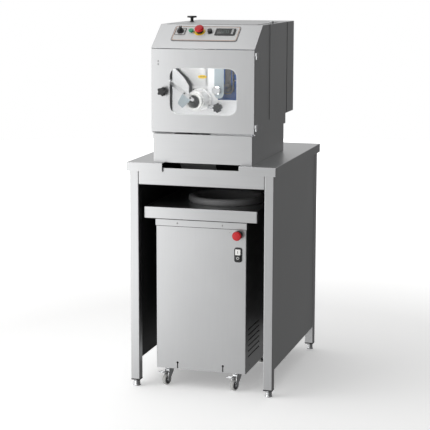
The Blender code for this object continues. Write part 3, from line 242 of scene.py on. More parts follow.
copper_line = moulded("panel_outline", (0.42, 0.17, 0.05), 0.42, 400.0, 0.02, 0.06)
glass_dark = Finish("display_screen", (0.004, 0.007, 0.006), 0.08, 0.0, **{"Coat Weight": 0.6})
glass_dark.drive(Roughness=glass_dark.noise(40.0) * 0.06 + 0.06)
tread = moulded("grey_wheel_tread", (0.46, 0.46, 0.45), 0.55, 260.0, 0.2, 0.1)
# Painted shade: the wheel's side is coloured dark as it falls in shade
wheel_side_shade = moulded("dark_wheel_side", (0.06, 0.06, 0.062), 0.45, 300.0, 0.12, 0.15)
pane = Finish("clear_pane", (0.9, 0.94, 0.95), 0.05, 0.0, Alpha=0.035)
pane.drive(Roughness=pane.noise(25.0) * 0.08 + 0.03)
for slot, finishes in {
        "stainless": (steel_up, steel_across, tray_skin, painted_shade_lining, blade_steel, chamber_steel),
        "chrome": (chrome, screw_steel), "cast_aluminium": (cast, cast_white),
        "chain_steel": (chain_steel,), "blue_enamel": (enamel,), "bowl_coating": (coating,),
        "black_plastic": (black, glass_dark), "clear_pane": (pane,),
        "white_plastic": (white, ivory, grey_trim, copper_line, yellow, pale_trim),
        "red_plastic": (red,), "green_plastic": (green,), "grey_wheel": (tread, wheel_side_shade)}.items():
    for finish in finishes:
        finish.slot = slot
print(len(bpy.data.materials), "finishes so far")

# %% [markdown]
# ## The maker's tools
#
# Turned parts, blocks, flat cut shapes and wound strips make up most of this machine, so
# there is one small tool for each. A piece is gathered shell by shell in one mesh, then
# kept under its name on the body that carries it.

# %% Gathering a piece
RIM_ANGLE, FOLD_ANGLE = 0.6, 0.3
LEVEL = 1e-6


def eased(points, radius, steps=3, closed=True):
    """The outline with each corner eased by a small curve."""
    out, count = [], len(points)
    for k, point in enumerate(points):
        if not closed and k in (0, count - 1):
            out.append(tuple(point))
            continue
        corner = Vector(point)
        back, ahead = Vector(points[k - 1]) - corner, Vector(points[(k + 1) % count]) - corner
        reach = min(radius, back.length * 0.45, ahead.length * 0.45)
        start, end = corner + back.normalized() * reach, corner + ahead.normalized() * reach
        for step in range(steps + 1):
            t = step / steps
            out.append(tuple(start * (1 - t) ** 2 + corner * 2 * t * (1 - t) + end * t * t))
    return out


def around(centre, half):
    return (centre - half, centre + half)


def box_outline(x, z, radius=0.0, steps=5):
    points = [(x[0], z[0]), (x[1], z[0]), (x[1], z[1]), (x[0], z[1])]
    return eased(points, radius, steps) if radius else points


def disc_outline(centre, radius, sides=32, wave=0.0, lobes=1):
    turns = [2 * math.pi * k / sides for k in range(sides)]
    return [(centre[0] + (radius + wave * math.cos(lobes * a)) * math.cos(a),
             centre[1] + (radius + wave * math.cos(lobes * a)) * math.sin(a)) for a in turns]


def cog_outline(centre, count, steps):
    """An outline that repeats the same few (share of a step, radius) points round a centre."""
    turns = [(2 * math.pi * (k + share) / count, r) for k in range(count) for share, r in steps]
    return [(centre[0] + r * math.cos(a), centre[1] + r * math.sin(a)) for a, r in turns]


def fin_outline(centre, root, tip, fins):
    return cog_outline(centre, fins, ((0.02, root), (0.34, tip), (0.66, tip), (0.98, root)))


def half_round(centre, radius):
    """The lower half of a circle, from its left end to its right."""
    turns = [math.pi + math.pi * k / 24 for k in range(25)]
    return [(centre[0] + radius * math.cos(a), centre[1] + radius * math.sin(a)) for a in turns]


class Piece:
    """Shells gathered in one mesh. Points are in metres, in the frame of the object."""

    def __init__(self, matrix=None, bm=None):
        self.bm = bm or bmesh.new()
        self.matrix = matrix or Matrix.Identity(4)

    def block(self, low, high, edge=0.0, steps=2):
        made = bmesh.ops.create_cube(self.bm, size=1.0)["verts"]
        low, high = Vector(low), Vector(high)
        bmesh.ops.scale(self.bm, vec=high - low, verts=made)
        bmesh.ops.translate(self.bm, vec=(low + high) / 2, verts=made)
        if edge:
            edges = list(dict.fromkeys(e for v in made for e in v.link_edges))
            bmesh.ops.bevel(self.bm, geom=edges, offset=edge, segments=steps, affect="EDGES",
                            profile=0.5)
        return self

    def lathe(self, profile, start, axis=(0, 0, 1), sides=48, ease=0.0):
        """Turns (radius, height) points round the axis; a profile off the axis closes on itself."""
        loop = profile[0][0] > 0
        if ease:
            profile = eased(profile, ease, 3, closed=loop)
        rings = []
        for radius, height in profile:
            count = sides if radius > 1e-7 else 1
            angles = [2 * math.pi * k / sides for k in range(count)]
            rings.append([self.bm.verts.new((radius * math.cos(a), radius * math.sin(a),
                height)) for a in angles])
        faces = []
        for low, high in zip(rings, rings[1:] + rings[:1] if loop else rings[1:]):
            for k in range(sides):
                corners = [low[k % len(low)], low[(k + 1) % len(low)], high[(k + 1) % len(high)],
                           high[k % len(high)]]
                faces.append(self.bm.faces.new(list(dict.fromkeys(corners))))
        bmesh.ops.recalc_face_normals(self.bm, faces=faces)
        turn = Vector((0, 0, 1)).rotation_difference(Vector(axis)).to_matrix().to_4x4()
        points = [point for ring in rings for point in ring]
        bmesh.ops.transform(self.bm, matrix=Matrix.Translation(start) @ turn, verts=points)
        return self

    def rod(self, radius, start, end, sides=32, ease=0.0):
        run = Vector(end) - Vector(start)
        return self.lathe([(0, 0), (radius, 0), (radius, run.length), (0, run.length)], start, run,
                          sides, ease)

    def slab(self, outline, low, high, along="Y", edge=0.0, steps=2, hole=None):
        """A flat shape with thickness. Along Y the outline is across and up."""
        def point(pair, depth):
            return {"Y": (pair[0], depth, pair[1]), "X": (depth, pair[0], pair[1]),
                    "Z": (pair[0], pair[1], depth)}[along]
        rows = [[self.bm.verts.new(point(pair,
            depth)) for pair in outline] for depth in (low, high)]
        faces = []
        if hole is None:
            faces += [self.bm.faces.new(row) for row in rows]
        else:
            inner = [[self.bm.verts.new(point(pair,
                depth)) for pair in hole] for depth in (low, high)]
            for row, gap in zip(rows, inner):
                faces += self.bridge(row, gap)
            faces += self.bridge(*inner)
        faces += self.bridge(*rows)
        bmesh.ops.recalc_face_normals(self.bm, faces=faces)
        if edge:
            depth = "XYZ".index(along)
            found = dict.fromkeys(e for f in faces for e in f.edges)
            rims = [e for e in found if e.calc_face_angle(0) > RIM_ANGLE and
                    abs(e.verts[0].co[depth] - e.verts[1].co[depth]) < LEVEL]
            bmesh.ops.bevel(self.bm, geom=rims, offset=edge, segments=steps, affect="EDGES",
                            profile=0.5)
        return self

    def bridge(self, first, second):
        """Joins two rows of equally many points with a band of faces."""
        faces = []
        for k in range(len(first)):
            nxt = (k + 1) % len(first)
            faces.append(self.bm.faces.new((first[k], first[nxt], second[nxt], second[k])))
        return faces

    def strip(self, points, ends=True):
        """Skins rows of equally many points. Its ends are closed, or joined to each other."""
        rows = [[self.bm.verts.new(point) for point in row] for row in points]
        faces = [self.bm.faces.new(row) for row in (rows[0], rows[-1])] if ends else []
        for first, second in zip(rows, rows[1:] if ends else rows[1:] + rows[:1]):
            faces += self.bridge(first, second)
        bmesh.ops.recalc_face_normals(self.bm, faces=faces)

    def screw(self, place, radius, axis=(0, -1, 0), tall=0.002):
        """A pan-head screw with a cross recess, standing on its face."""
        self.lathe(
            [(0, 0), (radius, 0), (radius * 0.96, tall * 0.55), (radius * 0.6, tall * 0.95),
             (0, tall)], place, axis, 20)
        return self

    def made(self, name):
        """The gathered shells as an object in the scene."""
        mesh = bpy.data.meshes.new(name)
        self.bm.to_mesh(mesh)
        self.bm.free()
        mesh.transform(self.matrix)
        return put(name, mesh)

    def keep(self, name, finish, replaces=(), body="station", slot=None, sharp=35.0):
        obj = self.made(name)
        obj.data.materials.append(finish.material)
        settle(obj, body, replaces, sharp)


def put(name, data):
    obj = bpy.data.objects.new(name, data)
    bpy.context.scene.collection.objects.link(obj)
    return obj


def settle(obj, body, replaces, sharp=35.0):
    """Puts the piece on its body, with its shading, and hides the parts it replaces."""
    obj.data.shade_smooth()
    obj.data.set_sharp_from_angle(angle=math.radians(sharp))
    weighted = obj.modifiers.new("even_shading", "WEIGHTED_NORMAL")
    weighted.keep_sharp = True
    weighted.weight = 80
    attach(obj, body)
    if replaces:
        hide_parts(replaces)


print("tools:", [name for name in vars(Piece) if not name.startswith("_")])

# %% [markdown]
# ## Folded sheet
#
# A cover is one sheet, bent. Modelled as a thick box it looks cast, because a bend has a
# radius outside and a smaller one inside. So the cover starts as an open surface, its
# folds are bevelled, it is thickened inwards with Solidify, and its openings are cut
# last with Booleans. Solidify gives the inner face its own material, and a near-black
# painted shade there is how the inside of the table goes dark.

# %% Bending and cutting a sheet
SHEET = 0.0015
FOLD = 0.0026
SIDES = {"-X": (0, -1), "+X": (0, 1), "-Y": (1, -1), "+Y": (1, 1), "-Z": (2, -1), "+Z": (2, 1)}


def open_box(low, high, open_sides):
    """A box as a surface, without the sides named in open_sides."""
    bm = bmesh.new()
    made = bmesh.ops.create_cube(bm, size=1.0)["verts"]
    low, high = Vector(low), Vector(high)
    bmesh.ops.scale(bm, vec=high - low, verts=made)
    bmesh.ops.translate(bm, vec=(low + high) / 2, verts=made)
    bm.normal_update()
    gone = [f for f in bm.faces for s in open_sides if f.normal[SIDES[s][0]] * SIDES[s][1] > 0.9]
    bmesh.ops.delete(bm, geom=gone, context="FACES")
    return bm


def bent_profile(outline, x, open_edge):
    """A surface bent along X with both cheeks, from a (deep, up) outline, less one edge."""
    bm = bmesh.new()
    rows = [[bm.verts.new((px, y, z)) for y, z in outline] for px in x]
    faces = [bm.faces.new(row) for row in rows]
    for k in range(len(outline)):
        if k != open_edge:
            nxt = (k + 1) % len(outline)
            faces.append(bm.faces.new((rows[0][k], rows[0][nxt], rows[1][nxt], rows[1][k])))
    bmesh.ops.recalc_face_normals(bm, faces=faces)
    return bm


def folded(name, bm, skin, replaces=(), cutters=(), inside=None, fold=FOLD, body="station"):
    """Eases the folds, thickens the surface inwards, then cuts each opening."""
    folds = [e for e in bm.edges if len(e.link_faces) == 2 and e.calc_face_angle() > FOLD_ANGLE]
    bmesh.ops.bevel(bm, geom=folds, offset=fold, segments=3, affect="EDGES", profile=0.5,
                    clamp_overlap=True)
    obj = Piece(bm=bm).made(name)
    obj.data.materials.append(skin.material)
    obj.data.materials.append((inside or skin).material)
    thicken = obj.modifiers.new("sheet", "SOLIDIFY")
    thicken.thickness, thicken.offset, thicken.use_even_offset = SHEET, -1.0, True
    thicken.material_offset = 1
    tools = []
    for gather in cutters:
        tools.append(gather(Piece()).made(name + "_cut"))
        modifier = obj.modifiers.new("opening", "BOOLEAN")
        modifier.operation, modifier.object = "DIFFERENCE", tools[-1]
    bpy.context.view_layer.update()
    graph = bpy.context.evaluated_depsgraph_get()
    result = bpy.data.meshes.new_from_object(obj.evaluated_get(graph))
    obj.modifiers.clear()
    obj.data = result
    result.name = name
    for cutter in tools:
        bpy.data.objects.remove(cutter)
    settle(obj, body, replaces)


def cut_block(low, high):
    return lambda tool: tool.block(low, high)


def cut_slab(outline, low, high, along="Y"):
    return lambda tool: tool.slab(outline, low, high, along)


def cut_rod(radius, start, end, sides=32):
    return lambda tool: tool.rod(radius, start, end, sides)


print("folded sheet:", SHEET * 1000, "mm, bend radius", FOLD * 1000, "mm")

# %% [markdown]
# ## Camera, floor and soft light
#
# The machine stands on a plain pale floor in a white studio. Metal shows what stands
# round it, so the room matters as much as the lamps: it is bright in front and to the
# left, and grey behind and to the right, which is what makes the covers read as steel.
# Two large soft lamps and that room light the outside, and two thin strips behind the
# door light the chamber.

# %% Camera
camera = put("studio_camera", bpy.data.cameras.new("studio_camera"))
camera.location = (1.7097, -6.1125, 1.8091)
camera.rotation_euler = (math.radians(80.457), 0.0, math.radians(16.928))
camera.data.lens, camera.data.sensor_width = 118.54, 36.0
camera.data.shift_x, camera.data.shift_y = 0.044, -0.017
camera.data.clip_end = 60.0
bpy.context.scene.camera = camera
bpy.context.scene.view_settings.view_transform = "Standard"
print("camera", [round(c, 2) for c in camera.location], "lens", camera.data.lens)

# %% Floor, room and lamps
paper = Finish("pale_floor", (0.9, 0.9, 0.895), 0.75)
away = paper.node("VectorMath", {"operation": "LENGTH"}, {0: paper.place()}, "Value")
glow = (away - 1.3) * 0.35
paper.drive(
    Base_Color=paper.blend(paper.noise(2.0), (0.89, 0.89, 0.885, 1), (0.91, 0.91, 0.905, 1)),
    Emission_Color=paper.blend(glow, (0.34, 0.34, 0.34, 1), (1, 1, 1, 1)))
paper.shader.inputs["Emission Strength"].default_value = 0.9
floor_mesh = bpy.data.meshes.new("floor")
rim = [(x, y, -0.0005) for x, y in disc_outline((0, 0), 9, 64)]
floor_mesh.from_pydata(rim, [], [tuple(range(64))])
floor_mesh.materials.append(paper.material)
floor = put("floor", floor_mesh)
floor.visible_glossy = False

room = bpy.data.worlds.new("studio_room")
bpy.context.scene.world = room
room.use_nodes = True
room.node_tree.nodes["Background"].inputs["Color"].default_value = (1.0, 1.0, 1.0, 1.0)
tree = room.node_tree
direction = tree.nodes.new("ShaderNodeTexCoord")
lean = tree.nodes.new("ShaderNodeVectorMath")
lean.operation = "DOT_PRODUCT"
lean.inputs[1].default_value = (-0.8, -0.1, 0.25)
tree.links.new(direction.outputs["Generated"], lean.inputs[0])
ramp = tree.nodes.new("ShaderNodeMapRange")
ramp.interpolation_type = "SMOOTHSTEP"
for socket, value in (("From Min", -0.48), ("From Max", 0.36), ("To Min", 0.11), ("To Max", 0.76)):
    ramp.inputs[socket].default_value = value
tree.links.new(lean.outputs["Value"], ramp.inputs["Value"])
path = tree.nodes.new("ShaderNodeLightPath")
choose = tree.nodes.new("ShaderNodeMix")
choose.inputs["B"].default_value = 1.0
tree.links.new(path.outputs["Is Camera Ray"], choose.inputs["Factor"])
tree.links.new(ramp.outputs["Result"], choose.inputs["A"])
tree.links.new(choose.outputs["Result"], tree.nodes["Background"].inputs["Strength"])


def lamp(name, place, target, size, watts):
    data = bpy.data.lights.new(name, "AREA")
    data.shape, data.size, data.size_y, data.energy = "RECTANGLE", size[0], size[1], watts
    obj = put(name, data)
    obj.location = place
    obj.rotation_euler = (Vector(target) - Vector(place)).to_track_quat("-Z", "Y").to_euler()


lamp("key_softbox", (-1.62, -1.95, 1.0), (-0.1, -0.4, 0.95), (1.9, 3.0), 25)
lamp("overhead_softbox", (-1.95, -0.8, 4.0), (-0.3, 0, 0.8), (1.8, 3.6), 22)
lamp("chamber_lamp_low", (-0.03, -0.372, 1.14), (-0.03, -0.24, 1.3), (0.38, 0.03), 0.24)
lamp("chamber_lamp_high", (-0.02, -0.37, 1.472), (-0.02, -0.255, 1.25), (0.36, 0.03), 0.55)

# %% [markdown]
# ## The table
#
# Tabletop, skirts and legs are folded from 1.5 mm stainless. The top is one sheet bent
# down on four sides, notched at the front so that portions can fall through. The skirts
# close three sides below it, with painted shade on the inside. The legs are square tube
# with a black end cap, and a levelling foot is screwed into each.

# %% Tabletop with its notch
CORNERS = ("front_left", "front_right", "rear_left", "rear_right")
top_low, top_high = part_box("tabletop")
NOTCH = (0.169, 0.24)
notch = cut_block((-NOTCH[0], top_low.y - 0.02, top_low.z - 0.02),
                  (NOTCH[0], top_low.y + NOTCH[1], top_high.z + 0.02))
folded("tabletop_sheet", open_box(top_low, top_high, ["-Z"]), steel_across, "tabletop", [notch],
       painted_shade_lining)
print("tabletop", [round(v * 1000) for v in (top_high - top_low)], "mm")

# %% Skirts, with painted shade on the inside
for side in ("left", "right"):
    low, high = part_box("side_panel_" + side)
    inward = "+X" if side == "left" else "-X"
    folded("skirt_" + side, open_box(low, high, [inward]), steel_up, "side_panel_" + side,
           inside=painted_shade_lining)
    # A near-black painted shade sheet just inside each side skirt
    lo, hi = Vector(low), Vector(high)
    lo.x, hi.x = (hi.x - 0.0012, hi.x - 0.0004) if side == "left" else (lo.x + 0.0004,
        lo.x + 0.0012)
    Piece().block(lo + Vector((0, 0.004, 0.004)),
                  hi - Vector((0, 0.004, 0.004))).keep("skirt_lining_" + side, painted_shade_lining)
low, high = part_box("rear_panel")
folded("skirt_rear", open_box(low, high, ["-Y"]), steel_up, "rear_panel", inside=painted_shade_lining)
# A near-black painted shade sheet just inside the rear skirt
Piece().block((low.x + 0.004, low.y + 0.0004, low.z + 0.004),
              (high.x - 0.004, low.y + 0.0012, high.z - 0.004)).keep("skirt_lining_rear", painted_shade_lining)
low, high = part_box("apron_front")
folded("apron_rail", open_box(low, high, ["+Y", "+Z"]), steel_across, "apron_front", inside=painted_shade_lining)
print("skirts run down to", round(low.z * 1000), "mm at the front and 111 mm elsewhere")

# %% Legs with their black end caps
LEG_CAP = 0.006
for corner in CORNERS:
    low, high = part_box("leg_" + corner)
    tube = Piece()
    outer = box_outline((low.x + 0.0006, high.x - 0.0006), (low.y + 0.0006, high.y - 0.0006),
                        0.0032, 4)
    bore = box_outline((low.x + 0.0021, high.x - 0.0021), (low.y + 0.0021, high.y - 0.0021), 0.002,
                       4)
    tube.slab(outer, low.z + LEG_CAP, high.z, "Z", hole=bore)
    tube.keep("leg_tube_" + corner, steel_up, "leg_" + corner)
    Piece().slab(box_outline((low.x, high.x), (low.y, high.y), 0.0045, 4), low.z, low.z + LEG_CAP,
                 "Z", edge=0.0012).keep("leg_cap_" + corner, black)
print("leg tube", round((high.x - low.x) * 1000, 1), "mm square")

# %% Levelling feet
for corner in CORNERS:
    low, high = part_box("foot_" + corner)
    x, y = (low.x + high.x) / 2, (low.y + high.y) / 2
    r = (high.x - low.x) / 2
    foot = Piece()
    foot.lathe(
        [(0, 0), (r - 0.0012, 0), (r, 0.0012), (r, 0.003), (r - 0.0018, 0.0046),
         (r - 0.0026, 0.006), (r - 0.0026, 0.02), (r - 0.0032, 0.0212), (0.0126, 0.0222),
         (0.0126, 0.027), (0.0118, 0.0277), (0, 0.0277)], (x, y, 0), sides=64)
    foot.lathe([(r - 0.003, 0.0105), (r - 0.002, 0.011), (r - 0.002, 0.0122), (r - 0.003, 0.0127)],
               (x, y, 0), sides=64)
    foot.rod(0.0058, (x, y, 0.026), (x, y, high.z))
    foot.keep("levelling_foot_" + corner, chrome, "foot_" + corner, body="foot_" + corner)
print("feet", round(r * 2000, 1), "mm across")

# %% [markdown]
# ## Plinth and casing
#
# The head stands on a plain plinth. The casing above is one bent sheet: front mouth,
# small crease, slope for the controls, flat roof, back. Drawing its side profile and
# bending a surface along it gives every fold at once. Inside, a bulkhead carries the
# nozzle side of the mechanism.

# %% Plinth and the chute inside it
DROP_X, DROP_Y = (-0.13, 0.03), (-0.398, -0.29)
low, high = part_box("plinth")
low = Vector((low.x, low.y, top_high.z + 0.0003))
folded("plinth_sheet", open_box(low, high, ["-Z"]), steel_across, "plinth",
       [cut_block((DROP_X[0], DROP_Y[0], high.z - 0.02), (DROP_X[1], DROP_Y[1], high.z + 0.02))])
chute = [(high.y - 0.562 + 0.0012, 1.085), (-0.262, 0.93), (-0.262, 0.9325),
         (high.y - 0.562 + 0.0012, 1.0875)]
Piece().slab(chute, DROP_X[0], DROP_X[1], "X", edge=0.0004).keep("drop_chute", steel_across)
print("plinth", round((high.z - low.z) * 1000, 1), "mm tall")

# %% Casing, bent from one sheet
case_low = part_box("casing")[0]
door_low, door_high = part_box("door")
SLOPE_OUT = Vector(joints["main_switch_turn"]["axis"])
HEAD_X = 0.227
front, back = case_low.y, high.y
SLOPE_UP = Vector((0, SLOPE_OUT.z, -SLOPE_OUT.y))
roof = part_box("rear_hood")[1].z
crease = 1.4825
slope_top = front + (roof - crease) * SLOPE_UP.y / SLOPE_UP.z
mouth = front + 0.016
outline = [(mouth, case_low.z), (mouth, 1.4815), (front, 1.4815), (front, crease + 0.0006),
           (slope_top, roof), (back, roof), (back, case_low.z)]
hop_low, hop_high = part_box("hopper")
panel_low, panel_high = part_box("control_panel")
casing_cuts = [
    cut_block((hop_low.x + 0.01, hop_low.y + 0.008, roof - 0.01),
              (-0.034, hop_high.y - 0.01, roof + 0.01)),
    cut_block((-0.18, back - 0.01, 1.186), (0.18, back + 0.01, roof - 0.03)),
    cut_block((DROP_X[0], DROP_Y[0], case_low.z - 0.01), (DROP_X[1], DROP_Y[1], case_low.z + 0.01))]
folded("casing_sheet", bent_profile(outline, (-HEAD_X, HEAD_X), 0), steel_up, "casing", casing_cuts)
print("slope", round(math.degrees(math.atan2(SLOPE_UP.z, SLOPE_UP.y)), 1), "degrees, roof at",
      round(roof * 1000))

# %% Bulkhead, bracket and lid lugs
barrel_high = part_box("barrel")[1]
auger_x, auger_y, auger_z = joints["auger_spin"]["pos_m"]
BULK_Y, BULK_TOP = (-0.2385, -0.237), 1.2545
SADDLE, SADDLE_R = 0.055, 0.0485
bulk = Piece()
bulk.block((-0.186, BULK_Y[0], case_low.z + 0.001), (auger_x - SADDLE, BULK_Y[1], BULK_TOP), 0.0005)
bulk.block((auger_x + SADDLE, BULK_Y[0], case_low.z + 0.001), (HEAD_X - 0.002, BULK_Y[1], BULK_TOP),
           0.0005)
ring_out = [(auger_x + x, auger_z + z) for x, z in ((SADDLE, 0.001), (SADDLE, -0.1325),
    (-SADDLE, -0.1325), (-SADDLE, 0.001))]
saddle = half_round((auger_x, auger_z + 0.001), SADDLE_R)
bulk.slab(ring_out[::-1] + saddle[::-1], *BULK_Y, edge=0.0003)
bulk.slab([(-0.186, 1.2535), (-0.11, 1.2535), (-0.11, 1.312), (-0.132, 1.345), (-0.186, 1.398)],
          -0.2384, -0.2371)
bulk.slab([(-0.006, 1.2535), (0.02, 1.2535), (0.02, 1.402), (-0.0265, 1.402), (-0.0265, 1.292)],
          -0.2384, -0.2371)
bulk.keep("bulkhead", chamber_steel)
lug = Piece()
hinge = joints["lid_lift"]["pos_m"]
for side in (-1, 1):
    y0, y1 = sorted((hinge[1] + side * 0.0103, hinge[1] + side * 0.02))
    lug.block((hinge[0] - 0.0042, y0, roof - 0.0005), (hinge[0] + 0.0042, y1, hinge[2] - 0.001),
              0.0006)
    lug.rod(0.0044, (hinge[0], y0, hinge[2] - 0.0004), (hinge[0], y1, hinge[2] - 0.0004), 24,
            0.0004)
lug.keep("lid_lugs", chrome)
pivot = joints["feeler_swing"]["pos_m"]
Piece().block((-HEAD_X + 0.001, -0.368, pivot[2] - 0.01),
              (pivot[0] + 0.01, -0.3625, pivot[2] + 0.01), 0.0008).keep("feeler_bracket",
                  steel_across)
print("bulkhead opening", round(SADDLE_R * 2000, 1), "mm")

# %% [markdown]
# ## Rear hood
#
# The motors stick out behind the casing, under a hood. Its two cheeks lap over the
# casing sides, and a near-black painted shadow in the groove marks where the removable
# back begins. The vent slots in the back are near-black painted shade, not cut through.

# %% Rear hood: cheeks, groove and back box
low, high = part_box("rear_hood")
hood_bottom, groove = low.z, (high.y - 0.139, high.y - 0.129)
for side, label in ((-1, "left"), (1, "right")):
    x0, x1 = sorted((side * (HEAD_X + 0.0004), side * high.x))
    cheek = Piece()
    cheek.block((x0, low.y, hood_bottom), (x1, groove[0] - 0.0005, high.z), 0.0009)
    for z in (hood_bottom + 0.03, (hood_bottom + high.z) / 2, high.z - 0.03):
        cheek.screw((side * (high.x - 0.0006), low.y + 0.018, z), 0.0042, (side, 0, 0), 0.0012)
    cheek.keep("hood_cheek_" + label, steel_up, "rear_hood" if side < 0 else ())
folded("hood_back", open_box((-high.x, groove[1], hood_bottom), high, ["-Y"]), steel_up)
# A near-black block painted as the shadow in the groove between the cheeks and the back
Piece().block((-high.x + 0.0022, groove[0], hood_bottom + 0.002),
              (high.x - 0.0022, groove[1], high.z - 0.0008)).keep("hood_seam", painted_shade_lining)
# Near-black painted shade where vent slots would open in the hood's back; no slot is cut
vent_shades = Piece()
for row in range(9):
    z = hood_bottom + 0.1 + row * 0.016
    vent_shades.slab(box_outline((-0.07, 0.07), (z, z + 0.005), 0.0024), high.y - 0.0012,
               high.y - 0.00005)
vent_shades.keep("hood_vent_slots", painted_shade_lining)
print("hood", round((high.y - low.y) * 1000), "mm deep")

# %% [markdown]
# ## The door with its clear window
#
# The door is a shallow folded tray with a rounded window, held by two bright hinges on
# the right and a star knob on the left. The window is a clear sheet behind the steel, and
# a pale rim follows the edge of the opening.

# %% Door leaf, gasket and screws
win_low, win_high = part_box("door_window")
lap = 0.013
WIN_X, WIN_Z = (win_low.x + lap, win_high.x - lap), (win_low.z + lap, win_high.z - lap)
knob = joints["door_knob_turn"]["pos_m"]
face = door_low.y
leaf_cuts = [cut_slab(box_outline(WIN_X, WIN_Z, 0.044, 9), face - 0.01, face + 0.005),
             cut_rod(0.0043, (knob[0], face - 0.01, knob[2]), (knob[0], face + 0.005, knob[2]))]
folded("door_leaf", open_box((-HEAD_X, face, door_low.z), (HEAD_X, face + 0.0157, door_high.z),
    ["+Y"]), steel_up, "door", leaf_cuts, body="door")
gasket = Piece()
outer = box_outline((WIN_X[0] - 0.001, WIN_X[1] + 0.001), (WIN_Z[0] - 0.001, WIN_Z[1] + 0.001),
                    0.045, 9)
inner = box_outline((WIN_X[0] + 0.0022, WIN_X[1] - 0.0022), (WIN_Z[0] + 0.0022, WIN_Z[1] - 0.0022),
                    0.042, 9)
gasket.slab(outer, face - 0.0004, face + 0.0017, hole=inner, edge=0.0003, steps=1)
gasket.keep("window_gasket", pale_trim, body="door", slot="black_plastic")
fixings = Piece()
for z in (1.4277, 1.4146):
    fixings.screw((-0.1964, face + 0.0002, z), 0.0036)
fixings.keep("door_screws", screw_steel, body="door")
Piece().slab(box_outline((win_low.x, win_high.x), (win_low.z, win_high.z), 0.043, 8), win_low.y,
             win_high.y, edge=0.0005).keep("window_pane", pane, "door_window", body="door")
print("window", round((WIN_X[1] - WIN_X[0]) * 1000), "by", round((WIN_Z[1] - WIN_Z[0]) * 1000),
      "mm")

# %% Hinges: the door's knuckles, then the fixed leaves
HINGE_Z = {"upper": 1.454, "lower": 1.153}
hx, hy, _ = joints["door_swing"]["pos_m"]
knuckles = Piece()
for z in HINGE_Z.values():
    knuckles.lathe([(0, 0), (0.0045, 0), (0.0045, 0.0135), (0.003, 0.0138), (0, 0.014)],
                   (hx, hy, z + 0.0003), sides=28, ease=0.0006)
    knuckles.block((HEAD_X - 0.0004, hy - 0.0045, z + 0.0004), (hx, hy - 0.0018, z + 0.0136),
                   0.0005)
knuckles.keep("door_knuckles", chrome, body="door")
for label, z in HINGE_Z.items():
    low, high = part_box("door_hinge_" + label)
    leaf = Piece()
    leaf.block((HEAD_X + 0.0004, -0.386, low.z), (HEAD_X + 0.0019, high.y, high.z), 0.0005)
    leaf.block((HEAD_X + 0.0004, hy + 0.0005, low.z), (hx, -0.3855, z - 0.0003), 0.0005)
    leaf.lathe([(0, 0), (0.003, 0.0002), (0.0045, 0.0008), (0.0045, 0.0134), (0, 0.0136)],
               (hx, hy, low.z), sides=28)
    leaf.rod(0.0023, (hx, hy, low.z + 0.001), (hx, hy, high.z - 0.001))
    for dz in (0.007, 0.021):
        leaf.screw((HEAD_X + 0.0018, -0.366, low.z + dz), 0.0036, (1, 0, 0), 0.0014)
    leaf.keep("hinge_leaf_" + label, chrome, "door_hinge_" + label)
print("hinges at", HINGE_Z)

# %% Star knob with its neck and latch tongue
low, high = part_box("door_knob")
star = Piece()
star.slab(disc_outline((knob[0], knob[2]), 0.0172, 80, 0.0028, 5), low.y, knob[1], edge=0.0038,
          steps=4)
star.rod(0.0072, (knob[0], low.y + 0.001, knob[2]), (knob[0], low.y - 0.0002, knob[2]), 32)
star.lathe([(0.0098, 0), (0.0098, 0.002), (0.0068, 0.0085), (0.0042, 0.0085), (0.0042, 0)],
           (knob[0], face - 0.0004, knob[2]), (0, -1, 0))
star.rod(0.0039, (knob[0], knob[1] - 0.002, knob[2]), (knob[0], high.y, knob[2]))
star.block((knob[0] - 0.03, high.y - 0.003, knob[2] - 0.007),
           (knob[0] + 0.008, high.y, knob[2] + 0.007), 0.0008)
star.keep("door_star_knob", black, "door_knob", body="door_knob")
Piece().lathe([(0, 0), (0.0052, 0), (0.0052, 0.0003), (0.004, 0.0012), (0, 0.0012)],
              (knob[0], low.y + 0.0011, knob[2]), (0, -1, 0), 28).keep("door_knob_stud", chrome,
                  body="door_knob")
print("star knob", round((high.x - low.x) * 1000), "mm wide with its tongue")

# %% [markdown]
# ## The lid on the roof
#
# A flat lid closes the hopper mouth. It has a small turned black knob, and a round
# hinge at the right.

# %% Lid sheet and knob
low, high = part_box("lid")
plate = Piece()
LID_X, LID_Y = (low.x, 0.205), (low.y, high.y)
lid_bottom = roof + 0.0003
plate.slab(box_outline(LID_X, LID_Y, 0.01, 5), lid_bottom, lid_bottom + 0.002, "Z", edge=0.0007)
plate.block((0.201, hinge[1] - 0.0097, lid_bottom + 0.0003),
            (hinge[0], hinge[1] + 0.0097, hinge[2] - 0.001), 0.0006)
plate.rod(0.0042, (hinge[0], hinge[1] - 0.0097, hinge[2]), (hinge[0], hinge[1] + 0.0097, hinge[2]),
          28, 0.0004)
plate.rod(0.0019, (hinge[0], hinge[1] - 0.0198, hinge[2]), (hinge[0], hinge[1] + 0.0198, hinge[2]),
          20)
plate.keep("lid_sheet", steel_across, "lid", body="lid")
Piece().lathe(
    [(0, 0), (0.01, 0), (0.01, 0.0015), (0.007, 0.0035), (0.0066, 0.014), (0.0085, 0.0172),
     (0.0205, 0.0185), (0.0215, 0.0205), (0.0213, 0.0235), (0.019, 0.0257), (0.01, 0.026),
     (0, 0.026)], (-0.163, -0.022, lid_bottom + 0.002), sides=56).keep("lid_knob", black,
         body="lid")
print("lid", round((LID_X[1] - LID_X[0]) * 1000), "by", round((LID_Y[1] - LID_Y[0]) * 1000), "mm")

# %% [markdown]
# ## The control panel
#
# A white moulded plate lies on the slope, with a grey rim and a thin copper-coloured
# line round it. Everything on it is placed in the slope's own frame: across, up the
# slope, and out of it, which the axis of the main switch gives exactly.

